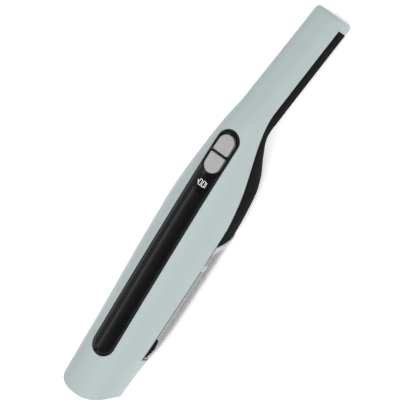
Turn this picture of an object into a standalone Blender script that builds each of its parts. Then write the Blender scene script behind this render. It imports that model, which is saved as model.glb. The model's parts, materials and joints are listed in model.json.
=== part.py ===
"""Slim cordless handheld vacuum cleaner, as an assembly of separate pieces.

Metres, +Z up. The mouth points to -X, the handle to +X and the buttons to +Z. The belly and the end
of the handle rest on z = 0. Sizes are written in millimetres along the body, measured from the tip of
the mouth, and at() turns them into world metres.
"""
import math

import bmesh
import bpy
from mathutils import Matrix, Vector

MM = 0.001
GAP = 0.3                       # running gap between neighbouring pieces

# ---------------------------------------------------------------- driving dimensions (mm)
ORIGIN_X = 211.59               # the frame's origin, measured from the mouth's tip
WALL = 2.2                      # moulded wall
DROOP = math.radians(16.5)      # handle falls away from the body by this angle
BEND_X = 287.0                  # where the body line and the handle line would cross
BEND_TANGENT = 25.0             # straight length that the bend takes from each line
HANDLE_END_X = 425.0            # centre of the handle's end
HANDLE_END_Z = 15.9             # low enough for the lower corner to be trimmed flat as the rear foot
HANDLE_HALF = 17.85             # half thickness of the handle at its end
END_ROUND = 4.0                 # edge radius of the handle's end
END_LEAN = 0.14                 # the end face and the seam before it lean this much per unit of height
END_PIVOT = -2.0                # height from the centre line where the end face's lean changes nothing
AXIS_Z = HANDLE_END_Z + (HANDLE_END_X - BEND_X) * math.tan(DROOP)   # height of the body's reference line
BEND_RADIUS = BEND_TANGENT / math.tan(DROOP / 2)
ARC_START = BEND_X - BEND_TANGENT
ARC_LENGTH = BEND_RADIUS * DROOP
AXIS_END = ARC_START + ARC_LENGTH + (HANDLE_END_X - BEND_X) / math.cos(DROOP) - BEND_TANGENT

# Sections along the reference line: station, top, bottom and widest height from the line, half width
SECTIONS = [
    (-12, 18.7, -35.5, -7.0, 26.6),
    (0, 19.0, -37.5, -7.5, 27.3),
    (33, 19.4, -41.2, -9.1, 28.4),
    (52, 19.8, -45.8, -12.0, 29.5),
    (70, 20.1, -53.0, -16.4, 30.8),
    (90, 20.5, -57.9, -16.9, 31.5),
    (127, 20.9, -58.7, -16.9, 32.8),
    (165, 21.1, -58.7, -16.9, 33.9),
    (203, 21.1, -58.7, -16.9, 34.3),
    (223, 21.0, -58.5, -16.9, 33.3),
    (242, 20.7, -57.0, -16.5, 31.5),
    (261, 20.1, -47.6, -13.3, 28.5),
    (281, 19.6, -32.3, -6.2, 24.4),
    (301, 18.9, -17.2, 0.4, 20.2),
    (308, 18.6, -16.6, 0.2, 19.2),
    (314, 18.4, -18.2, 0.0, 18.6),
    (330, 18.2, -18.2, 0.0, 18.3),
    (AXIS_END, HANDLE_HALF, -HANDLE_HALF, 0.0, HANDLE_HALF),
]
SQUARENESS = [(0, 2.45), (60, 2.35), (220, 2.3), (290, 2.5), (325, 3.0), (AXIS_END, 3.0)]
PARTING = [(0, -10.9), (200, -10.9), (225, -9.0), (250, -5.0), (272, -0.3), (291, 4.4), (305, 7.0),
           (320, 8.8), (AXIS_END, 8.8)]
STATIONS = [-12, 0, 11, 22, 33, 43, 52, 61, 70, 80, 92, 110, 136, 165, 194, 210, 223, 233, 242, 252, 261,
            271, 281, 291, 301, 308, 314, 330, 380]
SIDES = 24                      # points round each section

MOUTH_TOP_Z = AXIS_Z + 19.0
MOUTH_TIP = -3.8                # how far back the rim starts at its top
MOUTH_RAKE, MOUTH_CURVE = 0.864, 0.013      # the rim falls back with depth, less and less
MOUTH_DEPTH = MOUTH_RAKE / (2 * MOUTH_CURVE)    # below this depth the rim is upright
FUNNEL_LEAN = 0.66              # the funnel's face leans back this much per unit of depth
NOSE_END = 53.4                 # the one-piece nose ends here and the dust cup starts
PARTING_Z = AXIS_Z - 10.9
CUP_REAR = 204.2                # rear face of the dust cup at z = 0
CUP_LEAN = 0.46                 # the rear face leans forward this much per unit of height
COVER_START = 312.0             # the handle's bottom cover starts here
CAP_START = 418.6               # the one-piece handle end starts here

STRIP_START, STRIP_END = 39.7, 290.0
STRIP_HALF = 12.4
STRIP_DEPTH = 2.5               # recessed floor of the control strip
STRIP_THICK = 2.4
BUTTON_HALF = 8.35
BUTTON_SPLIT = 264.3            # middle of the gap between the two buttons
BUTTON_REACH = 20.1             # each button reaches this far from the split
BUTTON_PROUD = 0.8
BOARD_Z = 65.4                  # upper face of the control board

MOTOR_Z = 38.0                  # motor axis
FILTER_Z = 36.0                 # filter axis
CELL_RADIUS = 9.15
CELL_LENGTH = 65.0
CELL_STATIONS = (281.0, 347.6)  # front ends of the two cells
LATCH_X = (57.3, 78.0)
LATCH_Z = (39.0, 45.4)
SHELL_SCREW_X, SHELL_SCREW_Y = 268.0, 15.5
COVER_SCREWS = (325.0, 404.0)
COVER_SCREW_Y = 12.4
NECK_POST, HANDLE_POST = 3.0, 2.5   # radii of the screw posts
SCREW_HOLE, HEAD_HOLE = 1.5, 2.8    # radii of the hole for the thread and for the head
SCREW_SHANK, SCREW_HEAD = 1.2, 2.4


# ---------------------------------------------------------------- curves of the body
def smooth(points, s):
    """Monotone cubic through rows of (station, value...); returns the values at s."""
    if s <= points[0][0]:
        return list(points[0][1:])
    if s >= points[-1][0]:
        return list(points[-1][1:])
    k = max(i for i, p in enumerate(points) if p[0] <= s)
    width = points[k + 1][0] - points[k][0]
    t = (s - points[k][0]) / width
    values = []
    for column in range(1, len(points[0])):
        def slope(i):
            if i <= 0 or i >= len(points) - 1:
                return 0.0
            before = (points[i][column] - points[i - 1][column]) / (points[i][0] - points[i - 1][0])
            after = (points[i + 1][column] - points[i][column]) / (points[i + 1][0] - points[i][0])
            return 0.0 if before * after <= 0 else 2 * before * after / (before + after)
        low, high = points[k][column], points[k + 1][column]
        values.append(low * (2 * t ** 3 - 3 * t ** 2 + 1) + high * (3 * t ** 2 - 2 * t ** 3)
                      + width * (slope(k) * (t ** 3 - 2 * t ** 2 + t) + slope(k + 1) * (t ** 3 - t ** 2)))
    return values


def on_axis(s, n=0.0):
    """Point (x, z) at station s along the reference line, n above it, and the line's tilt."""
    turn = min(max((s - ARC_START) / BEND_RADIUS, 0.0), DROOP)
    x = min(s, ARC_START) + BEND_RADIUS * math.sin(turn)
    z = AXIS_Z - BEND_RADIUS * (1 - math.cos(turn))
    past = max(s - ARC_START - ARC_LENGTH, 0.0)
    x += past * math.cos(DROOP) + n * math.sin(turn)
    z += -past * math.sin(DROOP) + n * math.cos(turn)
    return x, z, turn


def in_handle(s, n=0.0):
    """Point (x, z) on the handle's straight centre line, extended forwards past the bend."""
    past = s - AXIS_END
    x = HANDLE_END_X + past * math.cos(DROOP) + n * math.sin(DROOP)
    z = HANDLE_END_Z - past * math.sin(DROOP) + n * math.cos(DROOP)
    return x, z


def mouth_rim(z):
    """Position along the body of the mouth's rim at height z."""
    depth = min(MOUTH_TOP_Z - z, MOUTH_DEPTH)
    return MOUTH_TIP + MOUTH_RAKE * depth - MOUTH_CURVE * depth ** 2


def end_seam(s):
    """Low end (x, z) of the seam across the handle's end that leaves the parting line at station s."""
    low = -30.0
    return on_axis(s + END_LEAN * (PARTING[-1][1] - low), low)[:2]


def at(x, y, z):
    """World metres from millimetres measured from the mouth's tip."""
    return Vector(((x - ORIGIN_X) * MM, y * MM, z * MM))


def section(s, inset, lean=0.0):
    """Superellipse points round the body at station s, moved inwards by inset."""
    top, bottom, middle, half = smooth(SECTIONS, s)
    power = 2 / smooth(SQUARENESS, s)[0]
    points = []
    for i in range(SIDES):
        angle = 2 * math.pi * (i + 0.5) / SIDES
        c, d = math.cos(angle), math.sin(angle)
        y = math.copysign(abs(c) ** power, c) * (half - inset)
        reach = (top - middle if d > 0 else middle - bottom) - inset
        n = middle + math.copysign(abs(d) ** power, d) * reach
        x, z, _ = on_axis(s + lean * (END_PIVOT - n), n)
        points.append(at(x, y, z))
    return points


def crown(x):
    """Height of the body's top line at x, over the straight part and the start of the bend."""
    return on_axis(x, smooth(SECTIONS, x)[0])[1]


# ---------------------------------------------------------------- building blocks
def new_object(name, bm):
    bmesh.ops.recalc_face_normals(bm, faces=bm.faces)
    mesh = bpy.data.meshes.new(name)
    bm.to_mesh(mesh)
    bm.free()
    obj = bpy.data.objects.new(name, mesh)
    bpy.context.collection.objects.link(obj)
    return obj


def skin(name, rings, closed=False):
    """Join rings of points into a solid, capped at both ends unless it closes on itself."""
    bm = bmesh.new()
    loops = [[bm.verts.new(p) for p in ring] for ring in rings]
    pairs = list(zip(loops, loops[1:]))
    if closed:
        pairs.append((loops[-1], loops[0]))
    for a, b in pairs:
        for i in range(len(a)):
            j = (i + 1) % len(a)
            bm.faces.new((a[i], a[j], b[j], b[i]))
    if not closed:
        bm.faces.new(loops[0])
        bm.faces.new(loops[-1])
    return new_object(name, bm)


def body_volume(inset, name="volume"):
    """The whole outer form moved inwards by inset, with the handle's end rounded."""
    rings = [section(s, inset) for s in STATIONS]
    end = AXIS_END - inset
    radius = max(END_ROUND - inset, 1.0)
    for step in (0, 30, 60, 90):
        angle = math.radians(step)
        back, pulled = radius * (1 - math.sin(angle)), radius * (1 - math.cos(angle))
        rings.append(section(end - back, inset + pulled, END_LEAN))
    return skin(name, rings)


def prism(outline, half_y, name="prism", y0=None):
    """Solid whose side view is the outline of (x, z) points, from y0 (or -half_y) to half_y."""
    low = -half_y if y0 is None else y0
    return skin(name, [[at(x, low, z) for x, z in outline], [at(x, half_y, z) for x, z in outline]])


def plan_prism(outline, low, high, name="plan"):
    """Solid whose plan is the outline of (x, y) points, between two heights."""
    return skin(name, [[at(x, y, low) for x, y in outline], [at(x, y, high) for x, y in outline]])


def box(x0, x1, y0, y1, z0, z1, name="box"):
    return plan_prism([(x0, y0), (x1, y0), (x1, y1), (x0, y1)], z0, z1, name)


def weld(obj):
    """Merge the points that a turned profile leaves on its axis."""
    bm = bmesh.new()
    bm.from_mesh(obj.data)
    bmesh.ops.remove_doubles(bm, verts=bm.verts, dist=1e-7)
    bmesh.ops.dissolve_degenerate(bm, edges=bm.edges, dist=1e-7)
    bmesh.ops.delete(bm, geom=[e for e in bm.edges if not e.link_faces], context="EDGES")
    bm.to_mesh(obj.data)
    bm.free()
    return obj


def turned(profile, centre_z, name="turned", sides=24):
    """Solid of revolution about a line along X at centre_z; the profile is a closed loop of (x, r)."""
    rings = []
    for i in range(sides):
        angle = 2 * math.pi * (i + 0.5) / sides
        rings.append([at(x, r * math.cos(angle), centre_z + r * math.sin(angle)) for x, r in profile])
    return weld(skin(name, rings, closed=True))


def rod(start, end, radius, name="rod", sides=12):
    """Cylinder between two points given in millimetres from the mouth's tip."""
    a, b = at(*start), at(*end)
    turn = (b - a).to_track_quat("Z", "Y").to_matrix().to_4x4()
    place = Matrix.Translation((a + b) / 2) @ turn
    bm = bmesh.new()
    bmesh.ops.create_cone(bm, cap_ends=True, segments=sides, radius1=radius * MM, radius2=radius * MM,
                          depth=(b - a).length, matrix=place)
    return new_object(name, bm)


def combine(base, other, operation):
    """Boolean of two objects; the second one is used up."""
    cut = base.modifiers.new("cut", "BOOLEAN")
    cut.operation = operation
    cut.solver = "EXACT"
    cut.object = other
    result = bpy.data.meshes.new_from_object(base.evaluated_get(bpy.context.evaluated_depsgraph_get()))
    base.modifiers.clear()
    base.data = result
    bpy.data.objects.remove(other)
    return base


def cut(base, *others):
    for other in others:
        combine(base, other, "DIFFERENCE")
    return base


def join(base, *others):
    for other in others:
        combine(base, other, "UNION")
    return base


def keep(base, *others):
    for other in others:
        combine(base, other, "INTERSECT")
    return base


def group(name, objects):
    """Put separate solids that never touch into one object."""
    bm = bmesh.new()
    for obj in objects:
        bm.from_mesh(obj.data)
        bpy.data.objects.remove(obj)
    return new_object(name, bm)


def finish(obj, name, material, origin=None, sharp=35.0):
    """Name the piece, give it its material and shading, and set its origin on its joint."""
    obj.name = name
    obj.data.name = name
    obj.data.materials.clear()
    obj.data.materials.append(material)
    for polygon in obj.data.polygons:
        polygon.material_index = 0
    obj.data.shade_smooth()
    obj.data.set_sharp_from_angle(angle=math.radians(sharp))
    if origin is not None:
        obj.data.transform(Matrix.Translation(-origin))
        obj.location = origin
    return obj


def paint(name, colour, roughness=0.45, metallic=0.0, transmission=0.0):
    material = bpy.data.materials.new(name)
    material.use_nodes = True
    shader = material.node_tree.nodes["Principled BSDF"]
    shader.inputs["Base Color"].default_value = (*colour, 1.0)
    shader.inputs["Roughness"].default_value = roughness
    shader.inputs["Metallic"].default_value = metallic
    shader.inputs["Transmission Weight"].default_value = transmission
    return material


# ---------------------------------------------------------------- outlines shared by the pieces
def parting_line(start, end, below):
    """Side-view points along the line between the upper and lower shells."""
    between = [(a + b) / 2 for a, b in zip(STATIONS, STATIONS[1:])]
    stations = [start] + [s for s in between if start + 2 < s < end - 2] + [end]
    return [on_axis(s, smooth(PARTING, s)[0] - below)[:2] for s in stations]


def rear_slant(z, offset=0.0):
    """X of the dust cup's slanted rear face at height z, moved back by offset."""
    return CUP_REAR + offset - CUP_LEAN * z


def slab(front, back, low, high):
    """Side view of a plate parallel to the cup's slanted rear face."""
    return [(rear_slant(low, front), low), (rear_slant(low, back), low),
            (rear_slant(high, back), high), (rear_slant(high, front), high)]


def stadium(x0, x1, half, steps=8):
    """Plan of a slot with round ends."""
    points = []
    for i in range(steps + 1):
        angle = math.pi * (0.5 + i / steps)
        points.append((x0 + half + half * math.cos(angle), half * math.sin(angle)))
    for i in range(steps + 1):
        angle = math.pi * (i / steps - 0.5)
        points.append((x1 - half + half * math.cos(angle), half * math.sin(angle)))
    return points


def under_crown(depth_low, depth_high, x0, x1):
    """Side view of the band between two depths below the body's top line."""
    xs = [x0] + [s for s in STATIONS if x0 < s < x1] + [x1]
    return [(x, crown(x) - depth_low) for x in xs] + [(x, crown(x) - depth_high) for x in reversed(xs)]


# ---------------------------------------------------------------- casing
def neck_rod(y, low, high, radius):
    """Upright rod in the neck, on a shell screw's line."""
    return rod((SHELL_SCREW_X, y, low), (SHELL_SCREW_X, y, high), radius)


def handle_rod(s, y, n_low, n_high, radius):
    """Rod across the handle, on a cover screw's line."""
    low, high = in_handle(s, n_low), in_handle(s, n_high)
    return rod((low[0], y, low[1]), (high[0], y, high[1]), radius)


def add_post(piece, post, inset):
    """Join a screw post to a shell, trimmed to stay inside the outer skin."""
    join(piece, keep(post, body_volume(inset)))


def upper_shell(material):
    """Shell that is one piece from the mouth, over the top, to the closed end of the handle."""
    top = 95.0
    outline = [(mouth_rim(z), z) for z in (top, 77, 73, 69, 65, 60, 55, 50, 44, -5)]
    outline += [(NOSE_END, -5), (NOSE_END, PARTING_Z)]
    outline += parting_line(60, CAP_START, 0.0)
    outline += [end_seam(CAP_START), on_axis(AXIS_END + 14, -30)[:2],
                on_axis(AXIS_END + 14, 40)[:2], (300, top)]
    shell = keep(body_volume(0.0), prism(outline, 50))
    cut(shell, body_volume(WALL))
    cut(shell, plan_prism(stadium(STRIP_START, STRIP_END, STRIP_HALF), 55, 90))
    for side in (-1, 1):
        add_post(shell, neck_rod(side * SHELL_SCREW_Y, 56.5, 80, NECK_POST), 1.0)
        cut(shell, neck_rod(side * SHELL_SCREW_Y, 50, 68, SCREW_HOLE))
        for s in COVER_SCREWS:
            add_post(shell, handle_rod(s, side * COVER_SCREW_Y, 0.6, 18, HANDLE_POST), 1.0)
            cut(shell, handle_rod(s, side * COVER_SCREW_Y, -2, 11, SCREW_HOLE))
    cut(shell, box(400, 450, -30, 30, -10, 0))
    cut(shell, handle_block(AXIS_END - 8, AXIS_END + 4, 4.9, -2.1, 2.1))
    return finish(shell, "upper_shell", material)


def motor_shell(material):
    """Lower shell under the motor and the neck, with its perforated vents."""
    outline = [(rear_slant(0, GAP), 0), (rear_slant(PARTING_Z - GAP, GAP), PARTING_Z - GAP)]
    outline += parting_line(188, COVER_START - GAP / 2, GAP)
    outline += [on_axis(COVER_START - GAP / 2, -30)[:2], (300, 0)]
    shell = keep(body_volume(0.0), prism(outline, 50))
    inner = [(180, WALL), (330, WALL), (330, 95), (150, 95)]
    cut(shell, keep(body_volume(WALL), prism(inner, 50)))
    for side in (-1, 1):
        add_post(shell, neck_rod(side * SHELL_SCREW_Y, 5, 56.2, NECK_POST), 0.8)
        cut(shell, neck_rod(side * SHELL_SCREW_Y, 0, 60, SCREW_HOLE))
        cut(shell, neck_rod(side * SHELL_SCREW_Y, 0, 26, HEAD_HOLE))
    holes = [box(x - 1.1, x + 1.1, -50, 50, z - 1.1, z + 1.1)
             for x in range(214, 256, 9) for z in (27.0, 34.0)]
    cut(shell, group("vents", holes))
    return finish(shell, "motor_shell", material)


def battery_cover(material):
    """Cover along the underside of the handle."""
    start, end = COVER_START + GAP / 2, CAP_START - GAP
    outline = parting_line(start, end, GAP) + [end_seam(end), on_axis(start, -30)[:2]]
    cover = keep(body_volume(0.0), prism(outline, 50))
    cut(cover, body_volume(WALL))
    for side in (-1, 1):
        for s in COVER_SCREWS:
            add_post(cover, handle_rod(s, side * COVER_SCREW_Y, -17, 0.3, HANDLE_POST), 0.8)
            cut(cover, handle_rod(s, side * COVER_SCREW_Y, -25, 5, SCREW_HOLE))
            cut(cover, handle_rod(s, side * COVER_SCREW_Y, -25, -9.5, HEAD_HOLE + 0.1))
    return finish(cover, "battery_cover", material)


def dust_cup(material, origin):
    """Clear bin: a trough open at its top and rear, with a pocket in each side for a latch button."""
    front = NOSE_END + GAP
    outline = [(front, 0), (rear_slant(0), 0), (rear_slant(PARTING_Z - GAP), PARTING_Z - GAP),
               (front, PARTING_Z - GAP)]
    cup = keep(body_volume(0.0), prism(outline, 50))
    hollow = [(front + 2.4, WALL), (240, WALL), (240, 90), (front + 2.4, 90)]
    cut(cup, keep(body_volume(WALL), prism(hollow, 50)))
    for side in (-1, 1):
        y0, y1 = sorted((side * 19.6, side * 45))
        block = box(front + 0.6, LATCH_X[1] + 2.2, y0, y1, LATCH_Z[0] - 2.2, PARTING_Z - GAP)
        join(cup, keep(block, body_volume(0.4)))
        y0, y1 = sorted((side * 21.4, side * 45))
        cut(cup, box(LATCH_X[0] - GAP, LATCH_X[1] + GAP, y0, y1, LATCH_Z[0] - GAP, 60))
    return finish(cup, "dust_cup", material, origin)


def cup_seal(material):
    """Rubber strip inside the upper shell that the rim of the cup closes against."""
    low, high = PARTING_Z + GAP, PARTING_Z + 4.0
    seal = keep(body_volume(WALL + GAP), box(57.0, 178, -50, 50, low, high))
    cut(seal, keep(body_volume(WALL + 2.0), box(59.0, 200, -50, 50, low - 5, high + 5)))
    # its front bar is low, so that the flap can swing over it
    cut(seal, box(50, 62, -15.6, 15.6, low + 0.7, high + 5))
    return finish(seal, "cup_seal", material)


def latch_button(side, material):
    """Ribbed side button that frees the dust cup when it is squeezed in."""
    y0, y1 = sorted((side * 20, side * 45))
    block = box(LATCH_X[0], LATCH_X[1], y0, y1, LATCH_Z[0], LATCH_Z[1])
    button = cut(keep(block, body_volume(0.5)), body_volume(2.9))
    ribs = [box(x, x + 1.2, y0, y1, LATCH_Z[0] + 0.6, LATCH_Z[1] - 0.6) for x in (60, 63, 66, 69, 72, 75)]
    rib_set = cut(keep(group("ribs", ribs), body_volume(0.0)), body_volume(1.6))
    join(button, rib_set)
    name = "latch_button_left" if side < 0 else "latch_button_right"
    middle = at(sum(LATCH_X) / 2, side * 28, sum(LATCH_Z) / 2)
    return finish(button, name, material, middle)


def latch_spring(side, material):
    """Compression spring behind a latch button, coiled about Y."""
    turns, per_turn, wire, radius = 3, 8, 0.3, 2.0
    y0, y1 = 21.4 + GAP + wire, 27.0 - wire
    x0, z0 = sum(LATCH_X) / 2, sum(LATCH_Z) / 2
    steps = turns * per_turn
    rings = []
    for i in range(steps + 1):
        angle = 2 * math.pi * i / per_turn
        y = y0 + (y1 - y0) * i / steps
        out = Vector((math.cos(angle), 0, math.sin(angle)))
        ring = []
        for k in range(4):
            around = math.pi * k / 2
            r = radius + wire * math.cos(around)
            ring.append(at(x0 + out.x * r, side * (y + wire * math.sin(around)), z0 + out.z * r))
        rings.append(ring)
    name = "latch_spring_left" if side < 0 else "latch_spring_right"
    return finish(skin(name, rings), name, material, sharp=60)


# ---------------------------------------------------------------- control strip
def control_panel(material):
    """Glossy strip set in the top: a shallow tray with round ends, buttons and a display in its floor."""
    plan = stadium(STRIP_START + GAP, STRIP_END - GAP, STRIP_HALF - GAP)
    tray = keep(body_volume(0.0), plan_prism(plan, 60, 90))
    deep = STRIP_DEPTH + STRIP_THICK
    cut(tray, prism(under_crown(deep, 30, STRIP_START - 5, STRIP_END + 5), 50))
    inner = stadium(STRIP_START + 2.6, STRIP_END - 2.6, STRIP_HALF - 2.6)
    floor = prism(under_crown(-12, STRIP_DEPTH, STRIP_START - 5, STRIP_END + 5), 50)
    cut(tray, keep(floor, plan_prism(inner, 60, 95)))
    opening = stadium(BUTTON_SPLIT - BUTTON_REACH - GAP, BUTTON_SPLIT + BUTTON_REACH + GAP, BUTTON_HALF + GAP)
    cut(tray, plan_prism(opening, 55, 95))
    cut(tray, plan_prism(stadium(222.4, 241.6, 5.8, 4), 55, 95))
    return finish(tray, "control_panel", material)


def display_window(material):
    plan = stadium(222.7, 241.3, 5.5, 4)
    window = keep(prism(under_crown(STRIP_DEPTH + 1.4, STRIP_DEPTH, 215, 250), 30), plan_prism(plan, 60, 90))
    return finish(window, "display_window", material)


def press_button(name, direction, material):
    """D-shaped key: half of a slot with round ends, standing on a stem over its switch."""
    whole = stadium(BUTTON_SPLIT - BUTTON_REACH, BUTTON_SPLIT + BUTTON_REACH, BUTTON_HALF, 10)
    near, far = sorted((BUTTON_SPLIT + direction * 1.3, BUTTON_SPLIT + direction * 40))
    band = prism(under_crown(STRIP_DEPTH + 1.2, -BUTTON_PROUD, near, far), 30)
    key = keep(band, plan_prism(whole, 55, 95))
    bevel = key.modifiers.new("edge", "BEVEL")
    bevel.width = 0.7 * MM
    bevel.segments = 1
    bevel.limit_method = "ANGLE"
    key.data = bpy.data.meshes.new_from_object(key.evaluated_get(bpy.context.evaluated_depsgraph_get()))
    key.modifiers.clear()
    x = BUTTON_SPLIT + direction * 10.5
    join(key, rod((x, 0, BOARD_Z + 5.0), (x, 0, crown(x) - 2.0), 2.0))
    return finish(key, name, material, at(x, 0, crown(x)))


def control_board(material):
    board = box(227, 279, -10.5, 10.5, BOARD_Z - 1.6, BOARD_Z)
    return finish(board, "control_board", material)


def display_module(material):
    height = crown(240) - STRIP_DEPTH - STRIP_THICK - GAP
    module = join(box(227.5, 240, -4.6, 4.6, BOARD_Z + 2.2, height),
                  box(229, 238, -3, 3, BOARD_Z + GAP, height - 1))
    return finish(module, "display_module", material)


def tact_switch(name, direction, material):
    x = BUTTON_SPLIT + direction * 10.5
    switch = join(box(x - 3, x + 3, -3, 3, BOARD_Z + GAP, BOARD_Z + 3.0),
                  rod((x, 0, BOARD_Z + 2), (x, 0, BOARD_Z + 3.7), 1.6))
    return finish(switch, name, material)


# ---------------------------------------------------------------- air path
def taper(front_x, front, back_x, back):
    """Tapered block between two rectangles given as (half width, low, high)."""
    rings = [[at(x, -half, low), at(x, half, low), at(x, half, high), at(x, -half, high)]
             for x, (half, low, high) in ((front_x, front), (back_x, back))]
    return skin("taper", rings)


def inlet_duct(material):
    """Funnel behind the mouth: a slanted flange in front, and a wall round the port behind."""
    back = 51.6
    lip_x = FUNNEL_LEAN * MOUTH_TOP_Z + 9          # where the flange's plane would reach z = 0
    lips = [(lip_x - FUNNEL_LEAN * 95, 95), (back, (lip_x - back) / FUNNEL_LEAN), (back, 95)]
    lean = FUNNEL_LEAN * 90
    plate = [(lip_x - 1, 0), (lip_x + 2, 0), (lip_x + 2 - lean, 90), (lip_x - 1 - lean, 90)]
    flange = prism(plate, 42)
    duct = join(taper(8, (26.4, -9, 72.0), 51, (15, 46.6, 60.2)), box(49.4, back, -40, 40, 0, 70.6), flange)
    keep(duct, prism(lips, 50), body_volume(WALL + GAP))
    cut(duct, taper(6, (25.2, -10, 71.5), 52, (13, 48.4, 58.4)))
    for y0 in (-13.6, 10.8):
        lug = box(50.3, 54.8, y0, y0 + 2.8, 59.7, 63.0)
        join(duct, lug)
    cut(duct, rod((53.4, -20, 61.6), (53.4, 20, 61.6), 0.9))
    return finish(duct, "inlet_duct", material)


def inlet_flap(material, origin):
    """Flap that hangs over the port and keeps the dust in when the motor stops."""
    flap = join(box(52.6, 54.2, -14.4, 14.4, 46.8, 59.0), box(52.6, 54.2, -10.4, 10.4, 58.4, 61.6),
                rod((53.4, -10.4, 61.6), (53.4, 10.4, 61.6), 1.3))
    cut(flap, rod((53.4, -15, 61.6), (53.4, 15, 61.6), 0.8))
    return finish(flap, "inlet_flap", material, origin)


def chamber_deck(material):
    """Plate over the dust chamber that keeps the wiring out of the air path."""
    deck = keep(body_volume(WALL + GAP), box(57, rear_slant(66.0) - GAP, -50, 50, 63.6, 65.2))
    return finish(deck, "chamber_deck", material)


def filter_bulkhead(material):
    """Slanted wall between the dust cup and the motor, with the filter's seat."""
    wall = keep(body_volume(WALL + GAP), prism(slab(1.2, 3.4, 2.6, 71.0), 50))
    cut(wall, turned([(150, 0), (240, 0), (240, 15.5), (150, 15.5)], FILTER_Z))
    return finish(wall, "filter_bulkhead", material)


def filter_parts(frame_paint, mesh_paint, pleat_paint, rubber):
    """Mesh cage, pleated core, frame ring and seal; they pull out forwards as one."""
    disc = [(150, 15.0), (240, 15.0), (240, 22.5), (150, 22.5)]
    seal = keep(turned(disc, FILTER_Z), prism(slab(-0.6, 0.9, 2, 70), 50))
    ring = keep(turned([(150, 15.0), (240, 15.0), (240, 23.0), (150, 23.0)], FILTER_Z),
                prism(slab(-3.2, -0.9, 2, 70), 50))
    trim = [(100, 0), (rear_slant(0, -3.5), 0), (rear_slant(80, -3.5), 80), (100, 80)]
    cage = turned([(126, 0), (126, 19), (230, 19), (230, 18.3), (127, 18.3), (127, 0)], FILTER_Z)
    keep(cage, prism(trim, 50))
    folds = 18
    rings = []
    for x in (128.0, 230.0):
        ring_points = []
        for i in range(2 * folds):
            angle = math.pi * i / folds
            radius = 17.4 if i % 2 else 14.6
            ring_points.append(at(x, radius * math.cos(angle), FILTER_Z + radius * math.sin(angle)))
        rings.append(ring_points)
    core = cut(skin("core", rings), turned([(130, 0), (240, 0), (240, 12.5), (130, 12.5)], FILTER_Z))
    keep(core, prism(trim, 50))
    finish(seal, "filter_seal", rubber)
    finish(ring, "filter_frame", frame_paint)
    finish(cage, "filter_mesh", mesh_paint)
    finish(core, "hepa_filter", pleat_paint)


# ---------------------------------------------------------------- motor and fan
def motor_parts(paints):
    z = MOTOR_Z
    shroud = turned([(208, 12), (210, 12), (212, 23.6), (226, 23.6), (226, 26), (210, 26), (208, 20)], z,
                    sides=28)
    finish(shroud, "fan_shroud", paints["plastic"])
    hub = turned([(212.8, 1.9), (212.8, 4), (219, 8), (221, 22.6), (222.4, 22.6), (222.4, 1.9)], z)
    blades = []
    for i in range(7):
        turn = Matrix.Rotation(2 * math.pi * i / 7, 4, "X")
        blade = box(214.2, 221.6, -0.6, 0.6, z + 7.5, z + 21.5)
        shift = at(0, 0, z) - at(0, 0, 0)
        blade.data.transform(Matrix.Translation(shift) @ turn @ Matrix.Translation(-shift))
        blades.append(blade)
    join(hub, group("blades", blades))
    spin = at(217, 0, z)
    finish(hub, "impeller", paints["fan"], spin)
    shaft = turned([(211.5, 0), (211.5, 1.5), (257, 1.5), (257, 0)], z, sides=12)
    finish(shaft, "motor_shaft", paints["steel"], spin)
    magnet = turned([(232, 1.8), (232, 7.6), (249, 7.6), (249, 1.8)], z, sides=16)
    finish(magnet, "rotor_magnet", paints["magnet"], spin)
    housing = turned([(226.4, 3.8), (226.4, 19), (256, 19), (256, 5.4), (254.4, 5.4), (254.4, 17.4),
                      (228, 17.4), (228, 3.8)], z, sides=20)
    holes = []
    for i in range(4):
        angle = math.radians(90 * i + 45)
        y, height = 13 * math.cos(angle), z + 13 * math.sin(angle)
        holes.append(rod((252, y, height), (259, y, height), 2.2))
    cut(housing, group("holes", holes))
    finish(housing, "motor_housing", paints["housing"])
    for name, x in (("front_bearing", 226.6), ("rear_bearing", 252.6)):
        bearing = turned([(x, 1.8), (x, 3.5), (x + 3.2, 3.5), (x + 3.2, 1.8)], z, sides=16)
        finish(bearing, name, paints["steel"])
    core = turned([(231.5, 14), (231.5, 17), (249.5, 17), (249.5, 14)], z, sides=18)
    teeth = []
    windings = []
    for i in range(6):
        turn = Matrix.Rotation(math.radians(60 * i), 4, "X")
        shift = at(0, 0, z) - at(0, 0, 0)
        place = Matrix.Translation(shift) @ turn @ Matrix.Translation(-shift)
        tooth = join(box(231.5, 249.5, -1.3, 1.3, z + 8.4, z + 15),
                     box(231.5, 249.5, -3.0, 3.0, z + 8.4, z + 9.4))
        tooth.data.transform(place)
        teeth.append(tooth)
        coil = cut(box(229.6, 251.4, -3.4, 3.4, z + 9.8, z + 12.9),
                   box(231.2, 249.8, -1.6, 1.6, z + 5, z + 20))
        coil.data.transform(place)
        windings.append(coil)
    join(core, group("teeth", teeth))
    finish(core, "stator_core", paints["steel"])
    ring = turned([(250.2, 10.0), (251.8, 10.0), (251.8, 12.6), (250.2, 12.6)], z, sides=12)
    finish(join(ring, group("windings", windings)), "stator_windings", paints["copper"])
    front = turned([(212, 26.3), (212, 29), (219, 29), (219, 26.3)], z, sides=28)
    finish(front, "front_motor_mount", paints["rubber"])
    rear = turned([(249, 19.3), (249, 22), (258.4, 22), (258.4, 12), (256.4, 12), (256.4, 19.3)], z)
    finish(rear, "rear_motor_mount", paints["rubber"])


def exhaust_foam(side, material):
    """Foam pad inside the vents of one side."""
    y0, y1 = sorted((0, side * 50))
    foam = cut(keep(body_volume(WALL + GAP), box(209, 257, y0, y1, 22, 40.5)), body_volume(WALL + 1.9))
    return finish(foam, "exhaust_foam_left" if side < 0 else "exhaust_foam_right", material)


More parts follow.
